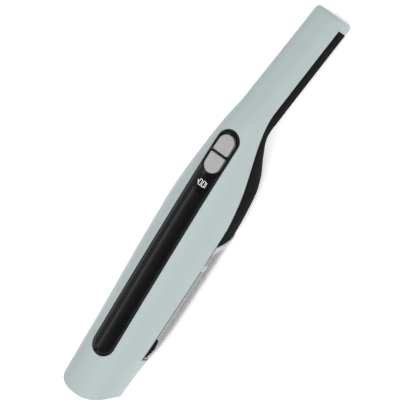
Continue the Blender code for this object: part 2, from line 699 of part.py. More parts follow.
def driver_board(material):
    board = join(box(260.5, 279, -11, 11, 34.0, 35.6), box(264.5, 268.5, -3, 6, 35, 37.4),
                 box(271, 277, 2, 8, 35, 39))
    return finish(board, "driver_board", material)


# ---------------------------------------------------------------- battery
def handle_turned(profile, material, name, sides=24):
    """Solid of revolution about the handle's centre line; the profile is a loop of (station, r)."""
    rings = []
    for i in range(sides):
        angle = 2 * math.pi * (i + 0.5) / sides
        ring = []
        for s, r in profile:
            x, z = in_handle(s, r * math.sin(angle))
            ring.append(at(x, r * math.cos(angle), z))
        rings.append(ring)
    return finish(weld(skin(name, rings, closed=True)), name, material)


def handle_block(s0, s1, half_y, n0, n1):
    outline = [in_handle(s0, n0), in_handle(s1, n0), in_handle(s1, n1), in_handle(s0, n1)]
    return prism(outline, half_y)


def battery_parts(paints):
    for name, s in zip(("battery_cell_front", "battery_cell_rear"), CELL_STATIONS):
        end = s + CELL_LENGTH
        profile = [(s + 0.8, 0), (s + 0.8, 3), (s + 1.8, 3), (s + 1.8, CELL_RADIUS - 0.8),
                   (s + 2.4, CELL_RADIUS), (end - 0.6, CELL_RADIUS), (end, CELL_RADIUS - 0.6), (end, 0)]
        handle_turned(profile, paints["cell"], name, sides=20)
    start, end = CELL_STATIONS[0], CELL_STATIONS[1] + CELL_LENGTH
    cradle = handle_turned([(start + 2, CELL_RADIUS + GAP), (start + 2, 11.0), (end + 2, 11.0),
                            (end + 2, CELL_RADIUS + GAP)], paints["plastic"], "battery_cradle", sides=20)
    cut(cradle, handle_block(start - 10, end + 10, 30, -5.6, 30))
    finish(cradle, "battery_cradle", paints["plastic"])
    middle = CELL_STATIONS[1]
    for name, s in (("contact_front", start), ("contact_middle", middle), ("contact_rear", end + 0.6)):
        finish(handle_block(s - 0.2, s + 0.4, 4, -4, 8), name, paints["nickel"])
    board = handle_block(start + 34, start + 84, 7, 11.0, 12.4)
    join(board, handle_block(start + 50, start + 62, 4, 12, 14))
    finish(board, "battery_board", paints["board"])
    jack = cut(handle_block(AXIS_END - 9, AXIS_END - 0.8, 4.6, -1.8, 1.8),
               handle_block(AXIS_END - 6, AXIS_END + 2, 4.1, -1.3, 1.3))
    join(jack, handle_block(AXIS_END - 11, AXIS_END - 8.4, 6, -5, 5))
    finish(jack, "charge_socket", paints["gloss"])


def lead(name, points, radius, material, sides=6, flat=1.0):
    """Insulated wire along a smooth curve through a few points."""
    path = [Vector(p) for p in points]
    padded = [path[0]] + path + [path[-1]]
    line = []
    for k in range(1, len(padded) - 2):
        p0, p1, p2, p3 = padded[k - 1:k + 3]
        for i in range(4):
            t = i / 4
            line.append(0.5 * ((2 * p1) + (p2 - p0) * t + (2 * p0 - 5 * p1 + 4 * p2 - p3) * t * t
                               + (3 * p1 - p0 - 3 * p2 + p3) * t ** 3))
    line.append(path[-1])
    rings = []
    for i, p in enumerate(line):
        forward = (line[min(i + 1, len(line) - 1)] - line[max(i - 1, 0)]).normalized()
        side = forward.cross(Vector((0.02, 1, 0.01))).normalized()
        up = side.cross(forward)
        ring = []
        for k in range(sides):
            angle = 2 * math.pi * k / sides
            ring.append(at(*(p + side * (radius * flat * math.cos(angle)) + up * (radius * math.sin(angle)))))
        rings.append(ring)
    return finish(skin(name, rings), name, material, sharp=60)


def wiring(paints):
    """Leads from the cells to the driver board, from there to the motor, and up to the control board."""
    cell_x, cell_z = in_handle(279.6, 3)
    for name, side, colour in (("battery_lead_red", 1, "red"), ("battery_lead_black", -1, "black_wire")):
        points = [(278.5, side * 8.8, 37.0), (278.8, side * 9.4, 42), (277.6, side * 9.6, 50),
                  (276.0, side * 6, 55), (cell_x, side * 2.4, cell_z)]
        lead(name, points, 0.8, paints[colour])
    lead("motor_leads", [(256.8, 0, 44.5), (258.8, 0, 43.6), (261.0, 0, 40.6), (261.8, 0, 36.7)], 0.7,
         paints["yellow"], sides=8, flat=4.0)
    bends = [(271.0, 39.0), (269.4, 47), (270.6, 56), (271.0, 63.3)]
    ribbon = prism(bends + [(x + 0.4, z) for x, z in reversed(bends)], -4.2, y0=-8.0)
    join(ribbon, box(270.0, 272.4, -8.4, -3.8, 35.9, 40.2))
    return finish(ribbon, "panel_ribbon", paints["ribbon"])


def screws(paints):
    """Self-tapping screws: two up into the body, four up into the handle."""
    for side, hand in ((-1, "left"), (1, "right")):
        y = side * SHELL_SCREW_Y
        screw = join(neck_rod(y, 24.0, 25.7, SCREW_HEAD), neck_rod(y, 25, 66, SCREW_SHANK))
        finish(screw, f"shell_screw_{hand}", paints["steel"])
        y = side * COVER_SCREW_Y
        for s, place in zip(COVER_SCREWS, ("front", "rear")):
            screw = join(handle_rod(s, y, -11.4, -9.8, SCREW_HEAD), handle_rod(s, y, -10.4, 9.5, SCREW_SHANK))
            finish(screw, f"cover_screw_{place}_{hand}", paints["steel"])


# ---------------------------------------------------------------- assembly
def empty(name, location):
    obj = bpy.data.objects.new(name, None)
    obj.location = location
    bpy.context.collection.objects.link(obj)
    return obj


def parent(child, holder):
    child.parent = holder
    child.matrix_parent_inverse = Matrix.Translation(-holder.location)


def main():
    for obj in list(bpy.data.objects):
        bpy.data.objects.remove(obj)
    paints = {
        "shell": paint("sage_plastic", (0.52, 0.60, 0.59), 0.42),
        "lower": paint("black_plastic", (0.025, 0.026, 0.028), 0.5),
        "clear": paint("clear_plastic", (0.86, 0.89, 0.9), 0.08, transmission=1.0),
        "gloss": paint("gloss_black", (0.012, 0.012, 0.014), 0.12),
        "key": paint("silver_plastic", (0.52, 0.52, 0.53), 0.35),
        "rubber": paint("black_rubber", (0.03, 0.03, 0.03), 0.8),
        "plastic": paint("grey_plastic", (0.12, 0.13, 0.14), 0.5),
        "steel": paint("steel", (0.62, 0.62, 0.63), 0.3, 1.0),
        "mesh": paint("mesh_steel", (0.55, 0.55, 0.56), 0.4, 1.0),
        "pleat": paint("pleat_paper", (0.82, 0.82, 0.80), 0.9),
        "fan": paint("fan_aluminium", (0.72, 0.73, 0.75), 0.3, 1.0),
        "magnet": paint("magnet", (0.2, 0.2, 0.22), 0.4, 1.0),
        "housing": paint("motor_housing", (0.3, 0.31, 0.33), 0.35, 1.0),
        "copper": paint("copper_wire", (0.75, 0.36, 0.16), 0.35, 1.0),
        "board": paint("circuit_board", (0.02, 0.16, 0.07), 0.5),
        "cell": paint("cell_wrap", (0.05, 0.22, 0.42), 0.4),
        "nickel": paint("nickel", (0.7, 0.68, 0.62), 0.3, 1.0),
        "foam": paint("foam", (0.08, 0.08, 0.085), 0.95),
        "red": paint("wire_red", (0.6, 0.03, 0.02), 0.5),
        "black_wire": paint("wire_black", (0.02, 0.02, 0.02), 0.5),
        "yellow": paint("wire_yellow", (0.75, 0.5, 0.04), 0.5),
        "ribbon": paint("ribbon", (0.75, 0.75, 0.72), 0.5),
    }
    upper_shell(paints["shell"])
    motor_shell(paints["lower"])
    battery_cover(paints["lower"])
    cup_origin = at(150, 0, PARTING_Z)
    slide = empty("cup_slide", cup_origin)
    parent(dust_cup(paints["clear"], cup_origin), slide)
    cup_seal(paints["rubber"])
    for side in (-1, 1):
        parent(latch_button(side, paints["lower"]), slide)
        parent(latch_spring(side, paints["steel"]), slide)
    control_panel(paints["gloss"])
    display_window(paints["gloss"])
    press_button("mode_button", -1, paints["key"])
    press_button("power_button", 1, paints["key"])
    control_board(paints["board"])
    display_module(paints["plastic"])
    tact_switch("mode_switch", -1, paints["plastic"])
    tact_switch("power_switch", 1, paints["plastic"])
    inlet_duct(paints["plastic"])
    inlet_flap(paints["rubber"], at(53.4, 0, 61.6))
    finish(rod((53.4, -13.4, 61.6), (53.4, 13.4, 61.6), 0.5, sides=10), "flap_pin", paints["steel"])
    chamber_deck(paints["plastic"])
    filter_bulkhead(paints["plastic"])
    filter_parts(paints["plastic"], paints["mesh"], paints["pleat"], paints["rubber"])
    motor_parts(paints)
    exhaust_foam(-1, paints["foam"])
    exhaust_foam(1, paints["foam"])
    driver_board(paints["board"])
    battery_parts(paints)
    wiring(paints)
    screws(paints)


main()
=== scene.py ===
import functools
import json
import math

import bmesh
import bpy
from mathutils import Matrix, Vector

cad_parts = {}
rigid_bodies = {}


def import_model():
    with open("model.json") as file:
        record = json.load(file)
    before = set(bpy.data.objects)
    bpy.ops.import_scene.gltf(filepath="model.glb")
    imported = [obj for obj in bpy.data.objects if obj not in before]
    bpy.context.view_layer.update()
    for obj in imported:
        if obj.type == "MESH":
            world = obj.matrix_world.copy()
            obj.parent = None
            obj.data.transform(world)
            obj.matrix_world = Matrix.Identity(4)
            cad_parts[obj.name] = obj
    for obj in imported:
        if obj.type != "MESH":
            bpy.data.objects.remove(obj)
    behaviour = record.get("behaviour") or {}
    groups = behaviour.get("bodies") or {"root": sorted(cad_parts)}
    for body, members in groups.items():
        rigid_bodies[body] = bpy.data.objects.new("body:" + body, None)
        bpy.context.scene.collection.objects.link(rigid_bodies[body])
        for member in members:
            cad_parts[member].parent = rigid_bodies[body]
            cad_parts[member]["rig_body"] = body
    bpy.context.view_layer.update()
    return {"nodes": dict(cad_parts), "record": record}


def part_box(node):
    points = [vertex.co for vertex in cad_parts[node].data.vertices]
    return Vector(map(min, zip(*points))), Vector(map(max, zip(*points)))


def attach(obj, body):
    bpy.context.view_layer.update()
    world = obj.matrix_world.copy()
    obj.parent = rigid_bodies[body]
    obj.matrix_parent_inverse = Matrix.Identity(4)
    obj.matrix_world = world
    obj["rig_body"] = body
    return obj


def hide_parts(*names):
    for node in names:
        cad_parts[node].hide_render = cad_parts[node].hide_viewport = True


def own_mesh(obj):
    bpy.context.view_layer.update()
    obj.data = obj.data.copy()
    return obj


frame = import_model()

# The looks of a slim cordless handheld vacuum cleaner. Lengths are in millimetres along the body,
# measured from the tip of the mouth; at() turns them into the frame's metres.
MM = 0.001
GAP = 0.3
WALL = 2.2
DROOP = math.radians(16.5)
BEND_X, BEND_TANGENT = 287.0, 25.0
HANDLE_END_X, HANDLE_END_Z, HANDLE_HALF = 425.0, 15.9, 17.85
END_ROUND, END_LEAN, END_PIVOT, LEAN_START = 4.0, 0.14, -2.0, 395.0
AXIS_Z = HANDLE_END_Z + (HANDLE_END_X - BEND_X) * math.tan(DROOP)
BEND_RADIUS = BEND_TANGENT / math.tan(DROOP / 2)
ARC_START = BEND_X - BEND_TANGENT
ARC_LENGTH = BEND_RADIUS * DROOP
AXIS_END = ARC_START + ARC_LENGTH + (HANDLE_END_X - BEND_X) / math.cos(DROOP) - BEND_TANGENT

# station, top, bottom and widest height from the reference line, half width
SECTIONS = [
    (-12, 18.7, -35.5, -7.0, 26.6),
    (0, 19.0, -37.5, -7.5, 27.3),
    (33, 19.4, -41.2, -9.1, 28.4),
    (52, 19.8, -45.8, -12.0, 29.5),
    (70, 20.1, -53.0, -16.4, 30.8),
    (90, 20.5, -57.9, -16.9, 31.5),
    (127, 20.9, -58.7, -16.9, 32.8),
    (165, 21.1, -58.7, -16.9, 33.9),
    (203, 21.1, -58.7, -16.9, 34.3),
    (223, 21.0, -58.5, -16.9, 33.3),
    (242, 20.7, -57.0, -16.5, 31.5),
    (261, 20.1, -47.6, -13.3, 28.5),
    (281, 19.6, -32.3, -6.2, 24.4),
    (301, 18.9, -17.2, 0.4, 20.2),
    (308, 18.6, -16.6, 0.2, 19.2),
    (314, 18.4, -18.2, 0.0, 18.6),
    (330, 18.2, -18.2, 0.0, 18.3),
    (AXIS_END, HANDLE_HALF, -HANDLE_HALF, 0.0, HANDLE_HALF),
]
SQUARENESS = [(0, 2.45), (60, 2.35), (220, 2.3), (290, 2.5), (325, 3.0), (AXIS_END, 3.0)]
PARTING = [(0, -10.9), (200, -10.9), (225, -9.0), (250, -5.0), (272, -0.3), (291, 4.4), (305, 7.0),
           (320, 8.8), (AXIS_END, 8.8)]

MOUTH_TOP_Z, MOUTH_TIP, MOUTH_RAKE, MOUTH_CURVE = AXIS_Z + 19.0, -3.8, 0.864, 0.013
NOSE_END = 53.4
PARTING_Z = AXIS_Z - 10.9
CUP_FRONT = NOSE_END + GAP
CUP_REAR, CUP_LEAN = 204.2, 0.46
CUP_BLEND, MOTOR_BLEND = 150.0, 226.0       # where rows that lean with the cup's rear stand upright again
COVER_START, CAP_START = 312.0, 418.6
STRIP_START, STRIP_END, STRIP_HALF = 39.7, 290.0, 12.4
STRIP_DEPTH = 2.5
BUTTON_HALF, BUTTON_SPLIT, BUTTON_REACH, BUTTON_PROUD = 8.35, 264.3, 20.1, 0.74
WINDOW = (222.4, 241.6, 5.8)

# how finely curved surfaces are divided, and the angle above which an edge stays sharp
UPPER_COUNT, LOWER_COUNT, MOUTH_ROWS, SHARP = 88, 72, 24, 38.0

# the frame's own x of this file's zero: the front face of the cup is at CUP_FRONT
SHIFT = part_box("dust_cup")[0].x - CUP_FRONT * MM


# ---------------------------------------------------------------- the body's form
def smooth(points, s):
    """Monotone cubic through rows of (station, value...)."""
    if s <= points[0][0]:
        return points[0][1:]
    if s >= points[-1][0]:
        return points[-1][1:]
    k = max(i for i, p in enumerate(points) if p[0] <= s)
    width = points[k + 1][0] - points[k][0]
    t = (s - points[k][0]) / width
    values = []
    for column in range(1, len(points[0])):
        def slope(i):
            if i <= 0 or i >= len(points) - 1:
                return 0.0
            before = (points[i][column] - points[i - 1][column]) / (points[i][0] - points[i - 1][0])
            after = (points[i + 1][column] - points[i][column]) / (points[i + 1][0] - points[i][0])
            return 0.0 if before * after <= 0 else 2 * before * after / (before + after)
        low, high = points[k][column], points[k + 1][column]
        values.append(low * (2 * t ** 3 - 3 * t ** 2 + 1) + high * (3 * t ** 2 - 2 * t ** 3)
                      + width * (slope(k) * (t ** 3 - 2 * t ** 2 + t) + slope(k + 1) * (t ** 3 - t ** 2)))
    return values


@functools.lru_cache(maxsize=None)
def sizes(s):
    """Top, bottom, widest height, half width and exponent of the section at station s."""
    return (*smooth(SECTIONS, s), 2 / smooth(SQUARENESS, s)[0])


def on_axis(s, n=0.0):
    """Point (x, z) at station s along the reference line, n above it."""
    turn = min(max((s - ARC_START) / BEND_RADIUS, 0.0), DROOP)
    past = max(s - ARC_START - ARC_LENGTH, 0.0)
    x = min(s, ARC_START) + BEND_RADIUS * math.sin(turn) + past * math.cos(DROOP) + n * math.sin(turn)
    z = AXIS_Z - BEND_RADIUS * (1 - math.cos(turn)) - past * math.sin(DROOP) + n * math.cos(turn)
    return x, z


def in_handle(s, n=0.0):
    """Point (x, z) on the handle's straight centre line."""
    past = s - AXIS_END
    return (HANDLE_END_X + past * math.cos(DROOP) + n * math.sin(DROOP),
            HANDLE_END_Z - past * math.sin(DROOP) + n * math.cos(DROOP))


def at(x, y, z):
    return Vector((SHIFT + x * MM, y * MM, z * MM))


def end_lean(s, n):
    """Shift along the handle that turns its rows, near the end, to lean as the end face does."""
    ease = min(max((s - LEAN_START) / (CAP_START - LEAN_START), 0.0), 1.0)
    past = min(max((s - CAP_START) / 4.0, 0.0), 1.0)
    pivot = PARTING[-1][1] * (1 - past) + END_PIVOT * past
    return END_LEAN * ease * (pivot - n)


def skin_point(s, angle, inset=0.0):
    """Point (x, y, z) of the body's skin at station s, at an angle up from the +Y side."""
    top, bottom, middle, half, power = sizes(round(s, 4))
    c, d = math.cos(angle), math.sin(angle)
    y = math.copysign(abs(c) ** power, c) * (half - inset)
    reach = (top - middle if d > 0 else middle - bottom) - inset
    n = middle + math.copysign(abs(d) ** power, d) * reach
    x, z = on_axis(s + end_lean(s, n), n)
    return x, y, max(z, inset)


def edge_angle(s, n, inset=0.0):
    """Angle at which the skin is n above the reference line."""
    top, bottom, middle, _, power = sizes(round(s, 4))
    reach = (top - middle if n >= middle else middle - bottom) - inset
    return math.copysign(math.asin(min(abs(n - middle) / reach, 1.0) ** (1 / power)), n - middle)


def rounding(share, power):
    """Reach of a section at a share of its width, as a share of its full reach."""
    return (1 - min(share, 1.0) ** (2 / power)) ** (power / 2)


def top_point(x, y, drop=0.0, inset=0.0):
    """Point on the upper skin at plan position (x, y), lowered by drop."""
    s = x
    for _ in range(7):
        top, _, middle, half, power = sizes(round(s, 4))
        n = middle + (top - middle - inset) * rounding(abs(y) / (half - inset), power)
        got, z = on_axis(s, n)
        s += x - got
    return x, y, z - drop


def side_y(x, z):
    """Half width of the body at (x, z), where the reference line is straight."""
    top, bottom, middle, half, power = sizes(round(x, 4))
    n = z - AXIS_Z
    reach = top - middle if n >= middle else middle - bottom
    return half * rounding(abs(n - middle) / reach, power)


def beside(side, x, z, out):
    """Point that stands out from one side of the body at (x, z)."""
    return x, side * (side_y(x, z) + out), z


# ---------------------------------------------------------------- meshes
def add_object(name, bm):
    """New object in the scene with the mesh that bm holds; bm is used up."""
    mesh = bpy.data.meshes.new(name)
    bm.to_mesh(mesh)
    bm.free()
    obj = bpy.data.objects.new(name, mesh)
    bpy.context.scene.collection.objects.link(obj)
    return obj


def evaluated_mesh(obj):
    """The object's mesh with its modifiers applied."""
    graph = bpy.context.evaluated_depsgraph_get()
    return bpy.data.meshes.new_from_object(obj.evaluated_get(graph))


def finish_mesh(mesh, sharp=SHARP):
    mesh.shade_smooth()
    mesh.set_sharp_from_angle(angle=math.radians(sharp))


def carve(obj, *cutters, sharp=SHARP):
    """Cut closed bmeshes out of a piece."""
    for bm in cutters:
        bmesh.ops.recalc_face_normals(bm, faces=bm.faces)
        tool = add_object("cutter", bm)
        step = obj.modifiers.new("cut", "BOOLEAN")
        step.operation = "DIFFERENCE"
        step.solver = "EXACT"
        step.object = tool
        obj.data = evaluated_mesh(obj)
        obj.modifiers.clear()
        bpy.data.objects.remove(tool)
    finish_mesh(obj.data, sharp)


def new_piece(name, bm, body, slot, nodes=(), paint=None, bevel=0.0, segments=2, bevel_angle=50.0):
    """Turn a bmesh into a named piece that rides on a body and stands for CAD nodes."""
    bmesh.ops.remove_doubles(bm, verts=bm.verts, dist=2e-6)
    bmesh.ops.recalc_face_normals(bm, faces=bm.faces)
    if bevel:
        edges = [e for e in bm.edges if len(e.link_faces) == 2
                 and e.calc_face_angle(0) > math.radians(bevel_angle)]
        bmesh.ops.bevel(bm, geom=edges, offset=bevel * MM, segments=segments, profile=0.5,
                        affect="EDGES", clamp_overlap=True)
    obj = add_object(name, bm)
    obj.data.materials.append(PAINT[paint or slot])
    finish_mesh(obj.data)
    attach(obj, body)
    if nodes:
        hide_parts(*nodes)
    return obj


def add_mesh(obj, bm):
    """Add the bodies in bm to a piece's own mesh."""
    bmesh.ops.recalc_face_normals(bm, faces=bm.faces)
    bm.from_mesh(obj.data)
    bm.to_mesh(obj.data)
    bm.free()
    finish_mesh(obj.data)


def verts(bm, points):
    return [bm.verts.new(at(*p)) for p in points]


def face(bm, corners):
    unique = list(dict.fromkeys(corners))
    if len(unique) > 2 and bm.faces.get(unique) is None:
        bm.faces.new(unique)


def bridge(bm, a, b, closed=False):
    """Quads between two rows of the same length."""
    count = len(a)
    for i in range(count if closed else count - 1):
        j = (i + 1) % count
        face(bm, (a[i], a[j], b[j], b[i]))


def grid(bm, rows):
    for a, b in zip(rows, rows[1:]):
        bridge(bm, a, b)


def tube(bm, rings, looped=False):
    """Join rings of vertices in turn, then cap both ends or join the last ring to the first."""
    for a, b in zip(rings, rings[1:]):
        bridge(bm, a, b, True)
    if looped:
        bridge(bm, rings[-1], rings[0], True)
    else:
        face(bm, rings[0])
        face(bm, rings[-1])


def wrap(bm, inner, outer):
    """Close two facing grids into one solid."""
    grid(bm, inner)
    grid(bm, outer)
    for end in (0, -1):
        bridge(bm, inner[end], outer[end])
        bridge(bm, [row[end] for row in inner], [row[end] for row in outer])


def straight(s):
    return lambda z: s


def leaning(plane, f, back):
    """Station of a row a share f of the way from a leaning plane to the upright one at back."""
    return lambda z: (1 - f) * plane(z) + f * back


def mouth_face(z):
    """Station of the mouth's curved rim at height z."""
    depth = min(MOUTH_TOP_Z - z, MOUTH_RAKE / (2 * MOUTH_CURVE))
    return MOUTH_TIP + MOUTH_RAKE * depth - MOUTH_CURVE * depth ** 2


def rear_plane(z):
    return CUP_REAR - CUP_LEAN * z


def arc(row, upper, inset=0.0, below=0.0):
    """Points of one row over the top (upper) or round the bottom, between the two parting points."""
    edge_s = row(PARTING_Z)
    start = edge_angle(edge_s, smooth(PARTING, edge_s)[0] - below, inset)
    sweep = (math.pi - 2 * start) if upper else -(math.pi + 2 * start)
    points = []
    for angle in spread(start, start + sweep, UPPER_COUNT if upper else LOWER_COUNT):
        s = edge_s
        for _ in range(8):
            s = row(skin_point(s, angle, inset)[2])
        points.append(skin_point(s, angle, inset))
    return points


def spread(start, end, count):
    """Values that divide the way from start to end into count equal parts."""
    return [start + (end - start) * i / count for i in range(count + 1)]


def steps(start, end, size):
    """Evenly spaced values about size apart, both ends included."""
    return spread(start, end, max(1, round((end - start) / size)))


def quarter(count):
    """Angles from nothing to a right angle."""
    return spread(0.0, math.pi / 2, count)


def circle(count, radius):
    """Points (u, v) evenly spaced round a circle."""
    return [(radius * math.cos(a), radius * math.sin(a)) for a in spread(0.0, 2 * math.pi, count)[:-1]]


# ---------------------------------------------------------------- materials
def material(name, build):
    mat = bpy.data.materials.new(name)
    mat.use_nodes = True
    build(mat.node_tree, mat.node_tree.nodes["Principled BSDF"])
    return mat


def node(tree, kind, **values):
    made = tree.nodes.new(kind)
    for key, value in values.items():
        if key in made.inputs.keys():
            made.inputs[key].default_value = value
        else:
            setattr(made, key, value)
    return made


def noise(tree, scale, detail=3.0, roughness=0.5, stretch=(1.0, 1.0, 1.0)):
    """Noise in object space; scale is in cycles per metre."""
    place = node(tree, "ShaderNodeTexCoord")
    mapping = node(tree, "ShaderNodeMapping", Scale=stretch)
    texture = node(tree, "ShaderNodeTexNoise", Scale=scale, Detail=detail, Roughness=roughness)
    tree.links.new(place.outputs["Object"], mapping.inputs["Vector"])
    tree.links.new(mapping.outputs["Vector"], texture.inputs["Vector"])
    return texture.outputs["Fac"]


def ramp(tree, source, stops, *sockets):
    """Colours by the value of source, led to the given sockets; a stop is (position, colour or grey)."""
    made = node(tree, "ShaderNodeValToRGB")
    tree.links.new(source, made.inputs["Fac"])
    elements = made.color_ramp.elements
    while len(elements) < len(stops):
        elements.new(0.5)
    for element, (position, colour) in zip(elements, stops):
        element.position = position
        element.color = (*colour, 1.0) if isinstance(colour, tuple) else (colour, colour, colour, 1.0)
    for socket in sockets:
        tree.links.new(made.outputs["Color"], socket)


def bump(tree, shader, source, distance):
    made = node(tree, "ShaderNodeBump", Strength=1.0, Distance=distance)
    tree.links.new(source, made.inputs["Height"])
    tree.links.new(made.outputs["Normal"], shader.inputs["Normal"])


def plastic(colour, spread, low_rough, high_rough, grain, depth, coat=0.0, sheen=0.5):
    """Moulded plastic: a colour that drifts, uneven roughness and a fine spark-eroded grain."""
    def build(tree, shader):
        dark, light = (tuple(min(c * (1 + s), 1.0) for c in colour) for s in (-spread, spread))
        ramp(tree, noise(tree, 45.0, 4.0), [(0.3, dark), (0.7, light)], shader.inputs["Base Color"])
        grain_noise = noise(tree, 160.0, 5.0, 0.6)
        ramp(tree, grain_noise, [(0.3, low_rough), (0.7, high_rough)], shader.inputs["Roughness"])
        bump(tree, shader, noise(tree, grain, 2.0, 0.6), depth)
        shader.inputs["Coat Weight"].default_value = coat
        shader.inputs["Coat Roughness"].default_value = 0.12
        shader.inputs["Specular IOR Level"].default_value = sheen
    return build


def metal(colour, low_rough, high_rough, stretch=(1.0, 1.0, 1.0), scale=900.0, depth=0.00001, spread=0.05):
    """Metal with drawn or turned marks along one direction."""
    def build(tree, shader):
        shader.inputs["Metallic"].default_value = 1.0
        marks = noise(tree, scale, 3.0, 0.6, stretch)
        dark = tuple(c * (1 - spread) for c in colour)
        ramp(tree, marks, [(0.3, dark), (0.7, colour)], shader.inputs["Base Color"])
        ramp(tree, marks, [(0.3, low_rough), (0.7, high_rough)], shader.inputs["Roughness"])
        bump(tree, shader, marks, depth)
    return build


def silver_key(tree, shader):
    marks = noise(tree, 420.0, 4.0, 0.6, (0.18, 3.0, 1.0))
    ramp(tree, marks, [(0.3, 0.29), (0.7, 0.34)], shader.inputs["Base Color"])
    ramp(tree, marks, [(0.3, 0.34), (0.7, 0.46)], shader.inputs["Roughness"])
    shader.inputs["Metallic"].default_value = 0.15
    bump(tree, shader, marks, 0.00002)


def clear_cup(tree, shader):
    """Clear plastic with painted light: darker towards the floor as painted shade, and a light band just
    under the rim as a painted highlight.
    """
    place = node(tree, "ShaderNodeTexCoord")
    split = node(tree, "ShaderNodeSeparateXYZ")
    height = node(tree, "ShaderNodeMapRange")
    height.inputs["From Min"].default_value = 0.012
    height.inputs["From Max"].default_value = 0.047
    tree.links.new(place.outputs["Object"], split.inputs["Vector"])
    tree.links.new(split.outputs["Z"], height.inputs["Value"])
    share = height.outputs["Result"]
    # painted light: base colour and see-through share follow height, dark low down as painted shade and
    # light just under the rim as a painted highlight
    ramp(tree, share, [(0.0, 0.34), (0.6, 0.28), (0.7, 0.45), (0.77, 0.9), (0.94, 0.9), (1.0, 0.5)],
         shader.inputs["Base Color"])
    ramp(tree, share, [(0.0, 0.80), (0.6, 0.62), (0.77, 0.9)], shader.inputs["Transmission Weight"])
    ramp(tree, noise(tree, 60.0, 5.0, 0.65), [(0.35, 0.02), (0.75, 0.09)], shader.inputs["Roughness"])
    shader.inputs["IOR"].default_value = 1.25
    bump(tree, shader, noise(tree, 300.0, 2.0), 0.000004)


def frosted(tree, shader):
    haze = noise(tree, 240.0, 4.0, 0.6)
    ramp(tree, haze, [(0.3, (0.60, 0.61, 0.615)), (0.7, (0.68, 0.69, 0.695))], shader.inputs["Base Color"])
    ramp(tree, haze, [(0.3, 0.30), (0.7, 0.42)], shader.inputs["Roughness"])
    shader.inputs["Transmission Weight"].default_value = 0.45
    shader.inputs["IOR"].default_value = 1.3
    bump(tree, shader, haze, 0.00001)


def figures(tree, shader):
    ramp(tree, noise(tree, 900.0, 2.0), [(0.3, 0.80), (0.7, 0.95)],
         shader.inputs["Base Color"], shader.inputs["Emission Color"])
    shader.inputs["Emission Strength"].default_value = 0.35
    shader.inputs["Roughness"].default_value = 0.5


def filter_paper(tree, shader):
    fibres = noise(tree, 1600.0, 5.0, 0.7, (1.0, 1.0, 4.0))
    ramp(tree, fibres, [(0.3, (0.70, 0.70, 0.67)), (0.7, (0.84, 0.84, 0.81))], shader.inputs["Base Color"])
    shader.inputs["Roughness"].default_value = 0.9
    bump(tree, shader, fibres, 0.00008)


def circuit_board(tree, shader):
    place = node(tree, "ShaderNodeTexCoord")
    tracks = node(tree, "ShaderNodeTexBrick", Scale=260.0, Color1=(0.012, 0.10, 0.04, 1.0),
                  Color2=(0.016, 0.13, 0.05, 1.0), Mortar=(0.05, 0.22, 0.09, 1.0))
    tree.links.new(place.outputs["Object"], tracks.inputs["Vector"])
    tree.links.new(tracks.outputs["Color"], shader.inputs["Base Color"])
    shader.inputs["Roughness"].default_value = 0.38
    bump(tree, shader, tracks.outputs["Fac"], 0.00004)


def ribbon_cable(tree, shader):
    place = node(tree, "ShaderNodeTexCoord")
    wave = node(tree, "ShaderNodeTexWave", Scale=500.0, bands_direction="Y")
    tree.links.new(place.outputs["Object"], wave.inputs["Vector"])
    ramp(tree, wave.outputs["Fac"], [(0.2, 0.5), (0.8, (0.78, 0.78, 0.74))], shader.inputs["Base Color"])
    shader.inputs["Roughness"].default_value = 0.5
    bump(tree, shader, wave.outputs["Fac"], 0.0001)


# how each slot of the record looks, and a few finishes that only the pieces here have
LOOKS = {
    "sage_shell": plastic((0.303, 0.352, 0.352), 0.012, 0.40, 0.50, 5200.0, 0.00002),
    "black_shell": plastic((0.006, 0.0062, 0.0065), 0.10, 0.46, 0.58, 3000.0, 0.00005, sheen=0.008),
    "inner_plastic": plastic((0.10, 0.106, 0.112), 0.06, 0.42, 0.55, 2600.0, 0.00003),
    "rubber": plastic((0.022, 0.022, 0.023), 0.12, 0.65, 0.82, 1800.0, 0.00004),
    "cell_wrap": plastic((0.03, 0.16, 0.36), 0.06, 0.22, 0.36, 900.0, 0.00001, 0.3),
    "wire_red": plastic((0.55, 0.02, 0.015), 0.06, 0.35, 0.5, 2500.0, 0.00001),
    "wire_black": plastic((0.015, 0.015, 0.015), 0.06, 0.35, 0.5, 2500.0, 0.00001),
    "wire_yellow": plastic((0.7, 0.45, 0.03), 0.06, 0.35, 0.5, 2500.0, 0.00001),
    "gloss_panel": plastic((0.0042, 0.0044, 0.0046), 0.10, 0.05, 0.09, 700.0, 0.000002, sheen=0.8),
    "smoked_window": plastic((0.003, 0.003, 0.0034), 0.10, 0.03, 0.05, 700.0, 0.000001),
    "foam": plastic((0.05, 0.05, 0.053), 0.25, 0.85, 0.98, 1500.0, 0.0004),
    "key_print": plastic((0.30, 0.30, 0.305), 0.05, 0.45, 0.6, 2500.0, 0.00001),
    "steel": metal((0.60, 0.60, 0.61), 0.22, 0.38),
    "spring_steel": metal((0.55, 0.55, 0.56), 0.22, 0.34),
    "mesh_steel": metal((0.52, 0.53, 0.54), 0.28, 0.42),
    "fan_metal": metal((0.72, 0.73, 0.75), 0.24, 0.36),
    "magnet": metal((0.20, 0.20, 0.21), 0.30, 0.45),
    "motor_can": metal((0.30, 0.31, 0.33), 0.28, 0.42),
    "nickel": metal((0.66, 0.63, 0.57), 0.20, 0.34),
    "socket_metal": metal((0.50, 0.50, 0.50), 0.20, 0.36),
    "lamination": metal((0.38, 0.38, 0.39), 0.30, 0.46, (60.0, 1.0, 1.0), 120.0, 0.00006, 0.25),
    "copper_wire": metal((0.75, 0.34, 0.14), 0.22, 0.40, (1.0, 12.0, 12.0), 260.0, 0.0001, 0.3),
    "silver_key": silver_key,
    "clear_cup": clear_cup,
    "frosted": frosted,
    "figures": figures,
    "filter_paper": filter_paper,
    "circuit_board": circuit_board,
    "ribbon_cable": ribbon_cable,
}
PAINT = {name: material(name, build) for name, build in LOOKS.items()}


